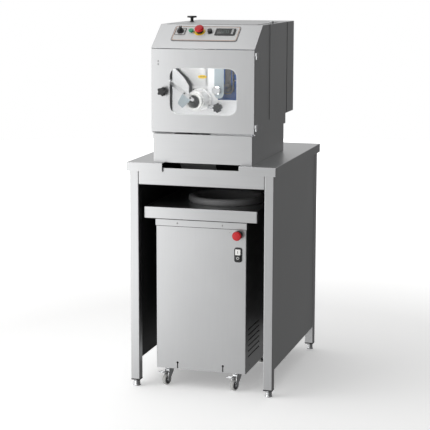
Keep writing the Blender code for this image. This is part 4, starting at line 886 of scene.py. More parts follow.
# %% The slope's frame and the plate
slope = Matrix.Identity(4)
slope.col[1][:3], slope.col[2][:3] = SLOPE_UP, SLOPE_OUT
slope.translation = (0, front, crease)
switch_at = slope.inverted() @ Vector(joints["main_switch_turn"]["pos_m"])
UP = switch_at.y
SWITCH_X, SPEED_X = joints["main_switch_turn"]["pos_m"][0], joints["speed_turn"]["pos_m"][0]
START_X = sum(v.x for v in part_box("start_button")) / 2
STOP_X = sum(v.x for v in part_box("stop_button")) / 2
PLATE_X = (panel_low.x, panel_high.x)
PLATE_UP = (UP - 0.0605, UP + 0.0415)
Piece(slope).slab(box_outline(PLATE_X, PLATE_UP, 0.013, 6), 0.0002, 0.0022, "Z",
                  edge=0.0008).keep("panel_rim", grey_trim, "control_panel")


def inset(by):
    """The plate's outline, that much smaller all round."""
    return ((PLATE_X[0] + by, PLATE_X[1] - by), (PLATE_UP[0] + by, PLATE_UP[1] - by))


Piece(slope).slab(box_outline(*inset(0.0042), 0.0115, 6), 0.0015, 0.00265, "Z",
                  hole=box_outline(*inset(0.0062), 0.0095, 6)).keep("panel_line", copper_line)
sheet = Piece(slope)
sheet.slab(box_outline(*inset(0.0062), 0.0095, 6), 0.0015, 0.0029, "Z", edge=0.0004)
sheet.slab(box_outline(*inset(0.0026), 0.0125, 6), 0.0015, 0.0025, "Z",
           hole=box_outline(*inset(0.0042), 0.0115, 6))
sheet.keep("panel_face", ivory)
print("panel", round((PLATE_X[1] - PLATE_X[0]) * 1000), "mm wide, controls", round(UP * 1000, 1),
      "mm up the slope")

# %% Main switch: plate, scale marks and turning knob
FACE = 0.0029
Piece(slope).slab(box_outline(around(SWITCH_X, 0.023), around(UP, 0.023), 0.004, 4), FACE, 0.0045,
                  "Z", edge=0.0006).keep("switch_flange", ivory)
Piece(slope).slab(box_outline(around(SWITCH_X, 0.0232), around(UP, 0.0232), 0.004, 4), 0.004,
                  0.0047, "Z", hole=box_outline(around(SWITCH_X, 0.0205), around(UP, 0.0205), 0.003,
                      4)).keep("switch_edging", black)
marks = Piece(slope)
for angle in (0, 90):
    a = math.radians(90 - angle)
    x, y = SWITCH_X + 0.0195 * math.cos(a), UP + 0.0195 * math.sin(a)
    if angle == 0:
        marks.slab(disc_outline((x, y), 0.0017, 20), 0.0045, 0.0047, "Z",
                   hole=disc_outline((x, y), 0.001, 20))
    else:
        marks.block((x - 0.0005, y - 0.0019, 0.0045), (x + 0.0005, y + 0.0019, 0.0047))
marks.slab(disc_outline((SWITCH_X, UP), 0.017, 40), 0.0045, 0.0047, "Z",
           hole=disc_outline((SWITCH_X, UP), 0.0162, 40))
marks.keep("switch_marks", black)
turner = Piece(slope)
turner.lathe(
    [(0, 0.0048), (0.0148, 0.0048), (0.015, 0.006), (0.014, 0.012), (0.0125, 0.0132), (0, 0.0132)],
    (SWITCH_X, UP, 0), sides=48)
turner.block((SWITCH_X - 0.0048, UP - 0.016, 0.0085), (SWITCH_X + 0.0048, UP + 0.016, 0.0246),
             0.0022, 3)
turner.keep("main_switch_knob", black, "main_switch", body="main_switch")
Piece(slope).block((SWITCH_X - 0.0006, UP + 0.004, 0.0244),
                   (SWITCH_X + 0.0006, UP + 0.015, 0.02475)).keep("switch_pointer", white,
                       body="main_switch")
print("main switch at", round(SWITCH_X * 1000, 1))

# %% Start and stop buttons
start = Piece(slope)
start.lathe(
    [(0, 0.0095), (0.0103, 0.0095), (0.011, 0.0102), (0.011, 0.0136), (0.0098, 0.0148),
     (0.006, 0.0141), (0, 0.0139)], (START_X, UP, 0), sides=48)
start.rod(0.0068, (START_X, UP, -0.011), (START_X, UP, 0.01))
start.keep("start_push", green, "start_button", body="start_button")
Piece(slope).lathe(
    [(0.0114, FACE), (0.0142, FACE), (0.0142, 0.0058), (0.0132, 0.0086), (0.0114, 0.0088)],
    (START_X, UP, 0), sides=48).keep("start_bezel", chrome)
stop = Piece(slope)
stop.lathe(
    [(0, 0.015), (0.015, 0.015), (0.0192, 0.0162), (0.02, 0.0185), (0.0196, 0.0238),
     (0.0165, 0.0278), (0.0085, 0.029), (0, 0.029)], (STOP_X, UP, 0), sides=56)
stop.rod(0.0096, (STOP_X, UP, 0.0085), (STOP_X, UP, 0.016))
stop.rod(0.0048, (STOP_X, UP, -0.011), (STOP_X, UP, 0.009))
stop.keep("stop_mushroom", red, "stop_button", body="stop_button")
Piece(slope).lathe([(0.01, FACE), (0.0235, FACE), (0.0235, 0.0038), (0.01, 0.0038)],
                   (STOP_X, UP, 0), sides=56).keep("stop_ring", yellow)
Piece(slope).lathe(
    [(0.011, 0.0038), (0.0148, 0.0038), (0.0148, 0.0088), (0.0138, 0.0098), (0.011, 0.0098)],
    (STOP_X, UP, 0), sides=48).keep("stop_collar", black)
print("start and stop at", round(START_X * 1000, 1), round(STOP_X * 1000, 1))

# %% Speed knob on its scale, and the display
Piece(slope).lathe([(0.0052, FACE), (0.014, FACE), (0.014, 0.0038), (0.0052, 0.0038)],
                   (SPEED_X, UP, 0), sides=56).keep("speed_scale", screw_steel)
ticks = Piece(slope)
for k in range(11):
    a = math.radians(225 - 27 * k)
    centre = Vector((SPEED_X + 0.0124 * math.cos(a), UP + 0.0124 * math.sin(a)))
    along, side = Vector((math.cos(a), math.sin(a))) * 0.0012, Vector((-math.sin(a),
        math.cos(a))) * 0.0003
    ticks.slab(
        [tuple(centre + along + side), tuple(centre - along + side), tuple(centre - along - side),
         tuple(centre + along - side)], 0.0038, 0.004, "Z")
ticks.keep("speed_ticks", black)
knob_piece = Piece(slope)
knob_piece.slab(disc_outline((SPEED_X, UP), 0.0096, 96, 0.0003, 24), 0.0052, 0.0165, "Z",
                edge=0.0009)
knob_piece.rod(0.0032, (SPEED_X, UP, -0.011), (SPEED_X, UP, 0.006))
knob_piece.keep("speed_knob_cap", black, "speed_knob", body="speed_knob")
Piece(slope).block((SPEED_X - 0.0005, UP + 0.003, 0.0163),
                   (SPEED_X + 0.0005, UP + 0.0092, 0.0168)).keep("speed_pointer", white,
                       body="speed_knob")
DISPLAY_X, DISPLAY_UP = (0.031, 0.119), (UP - 0.0235, UP + 0.0225)
Piece(slope).slab(box_outline(DISPLAY_X, DISPLAY_UP, 0.004, 4), FACE, 0.0066, "Z",
                  edge=0.0012).keep("display_housing", black)
Piece(slope).slab(box_outline((0.04, 0.097), (UP - 0.015, UP + 0.014), 0.002, 3), 0.006, 0.007, "Z",
                  edge=0.0003).keep("display_glass", glass_dark)
digits = Piece(slope)
SEGMENTS = {"1": (0, 0, 1, 0, 0, 1, 0), "2": (1, 0, 1, 1, 1, 0, 1), "0": (1, 1, 1, 0, 1, 1, 1)}
for k, figure in enumerate("120"):
    x = 0.0535 + k * 0.0155
    bars = [(x, UP + 0.0095, 1), (x - 0.0045, UP + 0.0047, 0), (x + 0.0045, UP + 0.0047, 0),
            (x, UP, 1), (x - 0.0045, UP - 0.0047, 0), (x + 0.0045, UP - 0.0047, 0),
            (x, UP - 0.0095, 1)]
    for lit, (bx, by, flat) in zip(SEGMENTS[figure], bars):
        if lit:
            w, h = (0.0036, 0.0009) if flat else (0.0009, 0.0038)
            digits.block((bx - w, by - h, 0.0069), (bx + w, by + h, 0.0072))
lit = Finish("display_digits", (0.1, 0.13, 0.12), 0.5, 0.0)
lit.drive(Emission_Color=lit.blend(lit.noise(200.0), (0.35, 0.7, 0.62, 1), (0.45, 0.8, 0.72, 1)))
lit.shader.inputs["Emission Strength"].default_value = 0.03
digits.keep("display_digits", lit)
keys = Piece(slope)
for k in range(4):
    y = UP + 0.012 - k * 0.0083
    keys.slab(box_outline((0.1025, 0.1115), around(y, 0.0026), 0.0012, 3), 0.0062, 0.0075, "Z",
              edge=0.0004)
keys.keep("display_keys", pale_trim)
print("display bars", len(SEGMENTS), "figures")

# %% [markdown]
# ## The auger line behind the window
#
# Dough falls from the hopper into a cast barrel. An auger pushes it forward through a
# cone and a white nozzle ring. All of that is turned work, so each piece is a profile
# spun round the auger's axis, with many more sides than the measured frame needs.

# %% Barrel, flange bolts and nozzle
axis_at = Vector((auger_x, 0, auger_z))
THROAT_X, THROAT_Y = (-0.1, -0.0295), (-0.209, -0.101)
BARREL, BORE = 0.048, 0.044


def ahead(y):
    """How far in front of the barrel's back end."""
    return barrel_high.y - y


tube = Piece()
tube.lathe(
    [(0.0135, 0), (0.047, 0), (BARREL, 0.001), (BARREL, ahead(THROAT_Y[1])),
     (BARREL, ahead(THROAT_Y[0])), (BARREL, ahead(-0.2405)), (0.049, ahead(-0.241)),
     (0.05, ahead(-0.242)), (0.05, ahead(-0.2505)), (0.049, ahead(-0.2518)),
     (0.0452, ahead(-0.252)), (0.0442, ahead(-0.256)), (0.042, ahead(-0.3)),
     (0.0417, ahead(-0.308)), (0.0426, ahead(-0.311)), (0.0424, ahead(-0.3235)),
     (0.0412, ahead(-0.325)), (0.0376, ahead(-0.325)), (0.0376, ahead(-0.315)),
     (0.034, ahead(-0.315)), (0.042, ahead(-0.252)), (BORE, ahead(-0.24)),
     (BORE, ahead(THROAT_Y[0])), (BORE, ahead(THROAT_Y[1])), (BORE, 0.008), (0.0135, 0.008)],
    (auger_x, barrel_high.y, auger_z), (0, -1, 0), sides=96)


def over_throat(face):
    """Whether a face of the barrel lies under the throat, within 45 degrees of straight up."""
    spot = face.calc_center_median() - axis_at
    return THROAT_Y[0] < spot.y < THROAT_Y[1] and spot.z > 0.707 * math.hypot(spot.x, spot.z)


bmesh.ops.delete(tube.bm, geom=[f for f in tube.bm.faces if over_throat(f)], context="FACES")
bmesh.ops.bridge_loops(tube.bm, edges=[e for e in tube.bm.edges if e.is_boundary])
for k in range(6):
    a = math.radians(30 + 60 * k)
    tube.lathe([(0, 0), (0.003, 0), (0.003, 0.0014), (0.0022, 0.0022), (0, 0.0022)],
               (auger_x + 0.0466 * math.cos(a), -0.2518, auger_z + 0.0466 * math.sin(a)),
               (0, -1, 0), 18)
throat = box_outline((-0.106, -0.0265), (-0.215, -0.095), 0.01)
tube.slab(throat, auger_z + 0.0446, 1.3117, "Z", hole=box_outline(THROAT_X, THROAT_Y, 0.007))
tube.block((-0.106, -0.206, auger_z + 0.014), (-0.1028, -0.104, auger_z + 0.046), 0.0004)
tube.block((-0.0295, -0.206, auger_z + 0.035), (-0.0265, -0.104, auger_z + 0.046), 0.0004)
tube.keep("auger_barrel", cast_white, "barrel")
low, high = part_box("nozzle")
Piece().lathe(
    [(0.03, 0), (0.0373, 0), (0.0373, 0.034), (0.0366, high.y - low.y), (0.03, high.y - low.y),
     (0.0282, 0.0325), (0.0282, 0.004)], (auger_x, high.y, auger_z), (0, -1, 0),
    sides=96).keep("nozzle_ring", white, "nozzle")
Piece().lathe([(0.0334, 0), (0.0406, 0.056), (0.0392, 0.056), (0.029, 0)],
              (auger_x, -0.3151, auger_z), (0, 1, 0), sides=96).keep("cone_insert", white)
print("nozzle ring", round((high.x - low.x) * 1000, 1), "mm across")

# %% Auger: shaft, point and flight
low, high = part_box("auger")
worm = Piece()
worm.lathe(
    [(0, 0), (0.012, 0), (0.012, high.y - low.y - 0.016), (0.0105, high.y - low.y - 0.008),
     (0.005, high.y - low.y - 0.001), (0, high.y - low.y)], (auger_x, high.y, auger_z), (0, -1, 0),
    sides=48)
PITCH, TURNS, STEPS = 0.052, 164 / 52, 40
SECTION = ((0.01, -0.0034), (0.04, -0.0016), (0.0418, 0.0), (0.04, 0.0016), (0.01, 0.0034))
rows = []
for k in range(int(TURNS * STEPS) + 1):
    a, y = 2 * math.pi * k / STEPS, auger_y - PITCH * k / STEPS
    rows.append([(auger_x + r * math.cos(a), y - t,
                  auger_z + r * -math.sin(a)) for r, t in SECTION])
worm.strip(rows)
worm.keep("auger_worm", cast, "auger", body="auger", sharp=50)
print("auger turns", round(TURNS, 2))

# %% Hopper with a rolled mouth
levels = [((-0.106, -0.028), (-0.215, -0.095), 1.312), ((-0.128, -0.03), (-0.22, -0.085), 1.345),
          ((-0.185, -0.03), (-0.23, -0.06), 1.4), ((-0.2, -0.0285), (-0.233, 0.01), 1.5),
          ((-0.205, -0.028), (-0.234, 0.04), 1.5655)]
funnel = Piece()
rows = []
for inset_by, order in ((0.0, levels), (0.002, levels[::-1])):
    for x, y, z in order:
        pairs = box_outline((x[0] + inset_by, x[1] - inset_by), (y[0] + inset_by, y[1] - inset_by),
                            0.02 - inset_by, 6)
        rows.append([(px, py, z) for px, py in pairs])
funnel.strip(rows, ends=False)
lip = box_outline((hop_low.x, hop_high.x), (hop_low.y + 0.0005, hop_high.y), 0.022, 6)
lip_in = box_outline((-0.203, -0.03), (-0.232, 0.038), 0.018, 6)
funnel.slab(lip, 1.564, hop_high.z, "Z", hole=lip_in, edge=0.0014)
funnel.keep("hopper_funnel", cast_white, "hopper", sharp=40)
tag = Piece()
oval = [(-0.055 + 0.02 * math.cos(2 * math.pi * k / 36),
         1.351 + 0.0075 * math.sin(2 * math.pi * k / 36)) for k in range(36)]
tag.slab(oval, -0.2226, -0.2196)
tag.keep("feed_label", yellow)
mark = Piece()
mark.slab(
    [(-0.066, 1.3499), (-0.049, 1.3499), (-0.049, 1.3475), (-0.042, 1.351), (-0.049, 1.3545),
     (-0.049, 1.3521), (-0.066, 1.3521)], -0.223, -0.2225)
mark.keep("feed_arrow", black)
print("hopper mouth", round((hop_high.x - hop_low.x) * 1000), "mm")

# %% [markdown]
# ## Two blue gearmotors
#
# Each drive is a ribbed gear case with a finned motor behind it, a fan cowl at its end
# and a terminal box. Fins are a toothed outline pulled along the motor, which costs one
# shell and casts real shadows.

# %% The two gear cases and motors
FIN = 0.0055
COWL = 0.038
MOTOR_R = (0.0578, 0.0498)


def finned(piece, centre, radius, y0, y1):
    """A motor lying along Y: its fins, then the cowl over its fan."""
    piece.slab(fin_outline(centre, radius - FIN, radius, 28), y0, y1)
    profile = [(0, 0), (radius, 0), (radius, 0.03), (radius - 0.006, COWL), (0, COWL)]
    piece.lathe(profile, (centre[0], y1 - COWL - 0.001, centre[1]), (0, 1, 0), 40)


low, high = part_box("auger_gearmotor")
drive = Piece()
cx, cz = (-0.108, -0.008), (1.2, 1.33)
drive.slab(box_outline(cx, cz, 0.014, 5), low.y, 0.055, edge=0.003)
drive.lathe([(0.013, 0), (0.037, 0), (0.037, 0.004), (0.013, 0.004)],
            (auger_x, low.y + 0.0008, auger_z), (0, -1, 0), 48)
drive.block((cx[0] + 0.01, low.y + 0.015, low.z), (cx[1] - 0.01, 0.04, 1.202), 0.003)
drive.block((cx[0], low.y + 0.01, low.z), (cx[1], 0.045, low.z + 0.008), 0.002)
finned(drive, (auger_x, auger_z), MOTOR_R[0], 0.053, high.y)
drive.block((auger_x - 0.03, 0.09, auger_z + 0.05), (auger_x + 0.03, 0.15, auger_z + 0.0765), 0.003)
drive.keep("auger_drive", enamel, "auger_gearmotor", sharp=30)

low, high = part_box("knife_gearmotor")
kx, ky, kz = (-0.022, 0.15), (-0.182, -0.062), (1.315, 1.48)
knife_at, sprocket_at = joints["knife_spin"]["pos_m"], joints["motor_sprocket_spin"]["pos_m"]
case = Piece()
case.slab(box_outline(kx, kz, 0.018, 5), ky[0] + 0.003, ky[1], edge=0.004, steps=3)
case.slab(box_outline((kx[0] + 0.008, kx[1] - 0.008), (kz[0] + 0.008, kz[1] - 0.008), 0.012, 5),
          ky[0], ky[0] + 0.006, edge=0.0014)
case.slab(box_outline((0.002, 0.138), (1.2, 1.325), 0.01, 4), ky[0] + 0.001, ky[1] - 0.01,
          edge=0.003)
case.block((0.022, ky[0] + 0.012, low.z), (0.118, ky[1] - 0.022, 1.202), 0.003)
for k in range(7):
    z = 1.34 + k * 0.019
    case.block((kx[1] - 0.012, ky[0] + 0.01, z), (kx[1], ky[1] - 0.008, z + 0.005), 0.001)
    case.block((0.112, ky[0], z), (0.146, ky[0] + 0.004, z + 0.006), 0.0012)
finned(case, (0.095, 1.375), MOTOR_R[1], ky[1] - 0.003, high.y)
case.block((0.067, -0.03, 1.42), (0.123, 0.04, 1.446), 0.003)
case.keep("knife_drive", enamel, "knife_gearmotor", sharp=30)
bolts = Piece()
for x, z in ((0.076, 1.366), (0.0785, 1.334), (0.134, 1.326), (0.134, 1.468), (-0.006, 1.468),
             (-0.006, 1.33), (0.09, 1.462), (0.02, 1.224), (0.12, 1.224)):
    bolts.lathe(
        [(0, 0), (0.0052, 0), (0.0052, 0.0008), (0.004, 0.0016), (0.004, 0.0045), (0.0032, 0.0055),
         (0, 0.0055)], (x, ky[0] + (0.0002 if z > 1.31 else 0.0012), z), (0, -1, 0), 24)
bolts.keep("drive_bolts", chrome)
print("motors", [round(radius * 2000) for radius in MOTOR_R], "mm across")

# %% [markdown]
# ## Knife, sprockets and chain
#
# The knife turns on a shaft through the gear case, driven by a chain from the sprocket
# above. A roller chain reads as a chain only if its links are there, so link plates and
# rollers are set one after another along the loop.

# %% Knife blade, hub and shaft
low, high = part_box("knife")
blade = Piece()
mid, half_w = (low.x + high.x) / 2, (high.x - low.x) / 2
blade.slab(half_round((mid, low.z + half_w), half_w) + [(high.x, high.z), (low.x, high.z)], low.y,
           high.y, edge=0.0011)
blade.keep("knife_blade", blade_steel, "knife", body="knife")
low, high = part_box("knife_shaft")
x, z = knife_at[0], knife_at[2]
hub = Piece()
hub.rod(0.0089, (x, -0.365, z), (x, high.y, z))
hub.lathe(
    [(0, 0), (0.0187, 0), (0.0187, 0.0092), (0.0178, 0.0108), (0.015, 0.0138), (0.009, 0.014),
     (0.0082, 0.0128), (0, 0.0128)], (x, -0.3563, z), (0, -1, 0), sides=56)
hub.lathe([(0, 0), (0.0138, 0), (0.0138, 0.009), (0.012, 0.0115), (0, 0.0115)], (x, -0.352, z),
          (0, 1, 0), sides=48)
hub.slab(disc_outline((x, z), 0.0062, 6), -0.3702, -0.368, edge=0.0006)
hub.keep("knife_hub", chrome, "knife_shaft", body="knife")


def toothed(centre, radius, teeth, depth):
    root, flank = radius - depth, radius - depth * 0.2
    tooth = ((-0.3, root), (-0.12, flank), (0.0, radius), (0.12, flank), (0.3, root))
    return cog_outline(centre, teeth, tooth)


SPROCKET_Y = (-0.194, -0.189)
wheel = Piece()
wheel.slab(toothed((x, z), 0.0208, 20, 0.003), *SPROCKET_Y, edge=0.0003, steps=1)
wheel.lathe([(0.0089, 0), (0.014, 0), (0.014, 0.004), (0.0089, 0.004)], (x, SPROCKET_Y[0], z),
            (0, -1, 0), 36)
wheel.keep("knife_sprocket", chain_steel, body="knife")
small = Piece()
sx, sz = sprocket_at[0], sprocket_at[2]
small.slab(toothed((sx, sz), 0.0166, 16, 0.0028), *SPROCKET_Y, edge=0.0003, steps=1)
low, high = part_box("motor_sprocket")
small.rod(0.0059, (sx, low.y, sz), (sx, high.y, sz), 32, 0.0006)
small.lathe([(0.0059, 0), (0.0105, 0), (0.0105, 0.0035), (0.0059, 0.0035)], (sx, SPROCKET_Y[0], sz),
            (0, -1, 0), 36)
small.keep("drive_sprocket", chain_steel, "motor_sprocket", body="motor_sprocket")
print("sprockets with 20 and 16 teeth, ratio", 20 / 16)

# %% The chain, link by link
ROLLER_OUT, LINK_PITCH = 0.0057, 0.0127
LINK_R, LINK = 0.0029, 0.0009
low_r, high_r = 0.021 + ROLLER_OUT, 0.0168 + ROLLER_OUT
run = sz - z
tilt = math.asin((low_r - high_r) / run)
straight = run * math.cos(tilt)
arcs = (high_r * (math.pi - 2 * tilt), low_r * (math.pi + 2 * tilt))
length = 2 * straight + sum(arcs)
links = 2 * round(length / LINK_PITCH)


def on_loop(s):
    """The point and direction after a length s along the chain, starting low on the right."""
    s %= length
    right = Vector((math.cos(tilt), math.sin(tilt)))
    up = Vector((-math.sin(tilt), math.cos(tilt)))
    if s < straight:
        return Vector((x, z)) + right * low_r + up * s, up
    s -= straight
    if s < arcs[0]:
        a = tilt + s / high_r
        return Vector((sx, sz)) + Vector((math.cos(a), math.sin(a))) * high_r, Vector((-math.sin(a),
            math.cos(a)))
    s -= arcs[0]
    left = Vector((-math.cos(tilt), math.sin(tilt)))
    down = Vector((-math.sin(tilt), -math.cos(tilt)))
    if s < straight:
        return Vector((sx, sz)) + left * high_r + down * s, down
    a = math.pi - tilt + (s - straight) / low_r
    return Vector((x, z)) + Vector((math.cos(a), math.sin(a))) * low_r, Vector((-math.sin(a),
        math.cos(a)))


chain = Piece()
pitch = length / links
for k in range(links):
    here, there = on_loop(k * pitch)[0], on_loop((k + 1) * pitch)[0]
    middle, way = (here + there) / 2, (there - here).normalized()
    side = Vector((-way.y, way.x))
    plate_outline = []
    for end, sign in ((there, 1), (here, -1)):
        for step in range(7):
            a = math.radians(-90 + 30 * step)
            out = way * math.cos(a) + side * math.sin(a)
            plate_outline.append(tuple(end + out * (sign * LINK_R)))
    shift = 0.0 if k % 2 else LINK
    for y in (-0.1958 + shift, -0.1881 - shift):
        chain.slab(plate_outline, y, y + LINK)
    chain.rod(0.0019, (here.x, -0.1955, here.y), (here.x, -0.1875, here.y), 14)
chain.keep("roller_chain", chain_steel, "drive_chain")
# A dark strip painted as the shadow in the gap between the knife and the blue gear case
Piece().slab(box_outline((0.038, 0.064), (z + 0.002, sz + 0.01), 0.004, 4), -0.186, -0.1836,
             edge=0.0004).keep("chain_backing", chain_steel)
print("chain of", links, "links,", round(pitch * 1000, 2), "mm pitch")

# %% [markdown]
# ## Small hardware behind the door
#
# A star knob and a bar clamp the barrel to the bulkhead. A sensing arm with a bluish
# plate feels the dough strand in front of the nozzle.

# %% Clamp knob, clamp bar and sensing arm
low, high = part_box("clamp_knob")
clamp_at = joints["clamp_turn"]["pos_m"]
x0, z0 = clamp_at[0], clamp_at[2]
grip = Piece()
grip.slab(disc_outline((x0, z0), 0.0184, 96, 0.0025, 8), low.y, clamp_at[1], edge=0.004, steps=4)
grip.rod(0.0098, (x0, clamp_at[1] - 0.001, z0), (x0, -0.2428, z0), 36, 0.001)
grip.rod(0.0049, (x0, clamp_at[1], z0), (x0, high.y, z0), 24)
grip.lathe([(0, 0), (0.007, 0), (0.007, 0.0006), (0, 0.001)], (x0, low.y + 0.0003, z0), (0, -1, 0),
           24)
grip.keep("clamp_star_knob", black, "clamp_knob", body="clamp_knob")
Piece().slab(box_outline((-0.022, x0 - 0.0085), around(z0, 0.008), 0.005, 4), -0.2575, -0.2523,
             edge=0.0008).keep("clamp_bar", chrome)

tip = Vector((-0.0514, 1.2624))
hub_at = Vector((pivot[0], pivot[2]))
along = (tip - hub_at).normalized()
across = Vector((-along.y, along.x)) * 0.007
low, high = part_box("feeler_arm")
arm_y = (-0.372, -0.3685)
arm = Piece()
ends = (hub_at - along * 0.01, tip + along * 0.004)
arm.slab(
    eased([tuple(ends[0] + across), tuple(ends[0] - across), tuple(ends[1] - across),
           tuple(ends[1] + across)], 0.006, 5), arm_y[0], arm_y[1], edge=0.0007)
arm.rod(0.0044, (pivot[0], low.y + 0.001, pivot[2]), (pivot[0], high.y, pivot[2]), 28)
arm.lathe([(0, 0), (0.007, 0), (0.007, 0.003), (0.0058, 0.0046), (0, 0.0048)],
          (pivot[0], -0.3718, pivot[2]), (0, -1, 0), 32)
arm.keep("sensing_arm", steel_across, "feeler_arm", body="feeler_arm")
drop = -across.normalized() * 0.056
start, end = hub_at + along * 0.074, hub_at + along * 0.122
Piece().slab(
    eased([tuple(start), tuple(start + drop * 0.95 + along * 0.008),
           tuple(end + drop - along * 0.01), tuple(end)], 0.005, 5), arm_y[0] + 0.001,
    arm_y[0] + 0.003, edge=0.0004).keep("sensing_plate", blade_steel, body="feeler_arm")
pins = Piece()
for point in (hub_at + along * 0.082, hub_at + along * 0.114):
    pins.lathe([(0, 0), (0.0044, 0), (0.0044, 0.0016), (0.0034, 0.0026), (0, 0.0028)],
               (point.x, arm_y[0] + 0.0002, point.y), (0, -1, 0), 24)
pins.keep("sensing_screws", black, body="feeler_arm")
print("sensing arm", round((tip - hub_at).length * 1000), "mm long")

# %% [markdown]
# ## The rounder on its cart
#
# The cart is a folded cabinet with a cap, and over it an open tray that carries the
# bowl. Slots for air and two keyholes at the bottom edge are cut through the sheet, and
# each air slot gets the lip that the press leaves behind it.

# %% Cart cabinet, louvres, cap and base
low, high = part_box("cart_cabinet")
base_low, base_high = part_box("cart_base")
button_low, button_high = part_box("cart_stop_button")
frame_low, frame_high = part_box("switch_frame")
stop_x, stop_z = (button_low.x + button_high.x) / 2, (button_low.z + button_high.z) / 2
pair_x, pair_z = (frame_low.x + frame_high.x) / 2, (frame_low.z + frame_high.z) / 2
VENTS = [low.z + 0.065 + 0.024 * row for row in range(6)]
VENT_Y = (-0.345, -0.15)
cuts = [cut_block((low.x - 0.01, VENT_Y[0], z),
                  (high.x + 0.01, VENT_Y[1], z + 0.006)) for z in VENTS]
for x in (-0.1183, 0.0876):
    cuts.append(cut_slab(disc_outline((x, low.z + 0.028), 0.005, 24), low.y - 0.01, low.y + 0.01))
    cuts.append(cut_block((x - 0.0025, low.y - 0.01, low.z - 0.01),
                          (x + 0.0025, low.y + 0.01, low.z + 0.028)))
cuts.append(cut_slab(disc_outline((stop_x, stop_z), 0.0105, 24), low.y - 0.01, low.y + 0.01))
cuts.append(cut_block((pair_x - 0.013, low.y - 0.01, pair_z - 0.028),
                      (pair_x + 0.013, low.y + 0.01, pair_z + 0.028)))
folded("cabinet_wrap", open_box(low, high, ("-Z", "+Z")), steel_up, "cart_cabinet", cuts,
       body="cart", inside=painted_shade_lining, fold=0.0034)
lips = Piece()
for z in VENTS:
    for wall, into in ((high.x - 0.0014, -1), (low.x + 0.0014, 1)):
        lips.slab(
            [(wall, z + 0.006), (wall, z + 0.0072), (wall + into * 0.0065, z + 0.0012),
             (wall + into * 0.0065, z)], *VENT_Y)
lips.keep("air_slot_lips", steel_across, body="cart")
small_parts = Piece()
small_parts.screw((0.1173, low.y + 0.0004, 0.702), 0.0022, (0, -1, 0), 0.0009)
small_parts.screw((high.x - 0.0004, -0.322, 0.1065), 0.0034, (1, 0, 0), 0.0018)
small_parts.screw((high.x - 0.0004, 0.11, 0.1065), 0.0034, (1, 0, 0), 0.0018)
cap_low, cap_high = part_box("cart_cap")
for x in (-0.1182, 0.0835):
    small_parts.screw((x, cap_low.y + 0.0004, 0.731), 0.0042, (0, -1, 0), 0.002)
for y in (-0.27, 0.06):
    small_parts.screw((cap_high.x - 0.0004, y, 0.731), 0.0042, (1, 0, 0), 0.002)
small_parts.keep("cart_screws", screw_steel, body="cart")
bowl_low, bowl_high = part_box("rounding_bowl")
bowl_x, bowl_y = (bowl_low.x + bowl_high.x) / 2, (bowl_low.y + bowl_high.y) / 2
bowl_hole = cut_rod(0.1405, (bowl_x, bowl_y, 0.6), (bowl_x, bowl_y, 0.95), 96)
folded("cap_lid", open_box(cap_low, cap_high, ("-Z",)), steel_across, "cart_cap", [bowl_hole],
       body="cart", inside=painted_shade_lining)
# The base pan is the same near-black painted shade, inside and out
floor_box = open_box((base_low.x, base_low.y, low.z + 0.0002), base_high, ("+Z",))
folded("base_pan", floor_box, painted_shade_lining, "cart_base", body="cart")
mounts = Piece()
for corner in CORNERS:
    x, y = joints["castor_swivel_" + corner]["pos_m"][:2]
    mounts.slab(box_outline(around(x, 0.029), around(y, 0.029), 0.005, 4), base_low.z,
                low.z + 0.0012, "Z", edge=0.0006)
    for dx in (-0.022, 0.022):
        for dy in (-0.022, 0.022):
            mounts.lathe([(0, 0), (0.005, 0), (0.005, 0.0026), (0, 0.003)],
                         (x + dx, y + dy, low.z + 0.0012), (0, 0, 1), 6)
mounts.keep("castor_mounts", chrome, body="cart")
# Thin black strips painted as the shadow under the tray's overhang and under the cap's lower edge
junction_shadows = Piece()
junction_shadows.block((cap_low.x + 0.0012, cap_low.y - 0.0006, cap_high.z - 0.0052),
            (cap_high.x - 0.0012, cap_low.y + 0.0006, cap_high.z - 0.0002))
junction_shadows.block((low.x + 0.002, low.y - 0.0012, cap_low.z - 0.0024),
            (high.x - 0.002, low.y + 0.0004, cap_low.z - 0.0002))
junction_shadows.keep("cap_seals", black, body="cart")
print("cabinet", [round(v * 1000) for v in high - low], "mm, air slots", 2 * len(VENTS))

# %% Tray, bowl and rounding screw
tray_low, tray_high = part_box("rounder_tray")
folded("tray_cover", open_box(tray_low, tray_high, ("-Z",)), tray_skin, "rounder_tray", [bowl_hole],
       body="cart", inside=painted_shade_lining, fold=0.0036)
rails = Piece()
for y in (low.y + 0.01, high.y - 0.03):
    rails.block((low.x + 0.005, y, tray_low.z), (high.x - 0.005, y + 0.02, tray_high.z - 0.002),
                0.0012)
rails.keep("tray_rails", steel_across, body="cart")
top_of_tray, pit = tray_high.z, bowl_low.z
Piece().lathe(
    [(0.0125, pit), (0.1365, pit), (0.1395, pit + 0.004), (0.1398, top_of_tray + 0.0006),
     (0.1655, top_of_tray + 0.0006), (0.169, top_of_tray + 0.0045), (0.17, top_of_tray + 0.01),
     (0.17, bowl_high.z - 0.012), (0.1686, bowl_high.z - 0.0055), (0.164, bowl_high.z - 0.0012),
     (0.157, bowl_high.z), (0.149, bowl_high.z - 0.0006), (0.1425, bowl_high.z - 0.0042),
     (0.1386, bowl_high.z - 0.011), (0.1372, bowl_high.z - 0.02), (0.137, pit + 0.012),
     (0.134, pit + 0.005), (0.129, pit + 0.0031), (0.0125, pit + 0.0031)], (bowl_x, bowl_y, 0),
    sides=144).keep("bowl_coated", coating, "rounding_bowl", body="cart", sharp=48)
disc = pit + 0.0045
worm = Piece()
worm.lathe(
    [(0, pit - 0.0875), (0.0118, pit - 0.0875), (0.0118, disc), (0.1318, disc),
     (0.1328, disc + 0.0015), (0.1318, disc + 0.0038), (0.056, disc + 0.005),
     (0.051, disc + 0.0085), (0.0315, top_of_tray - 0.01), (0.028, top_of_tray - 0.003),
     (0.023, top_of_tray - 0.0003), (0.015, top_of_tray), (0, top_of_tray)], (bowl_x, bowl_y, 0),
    sides=96)
rows = []
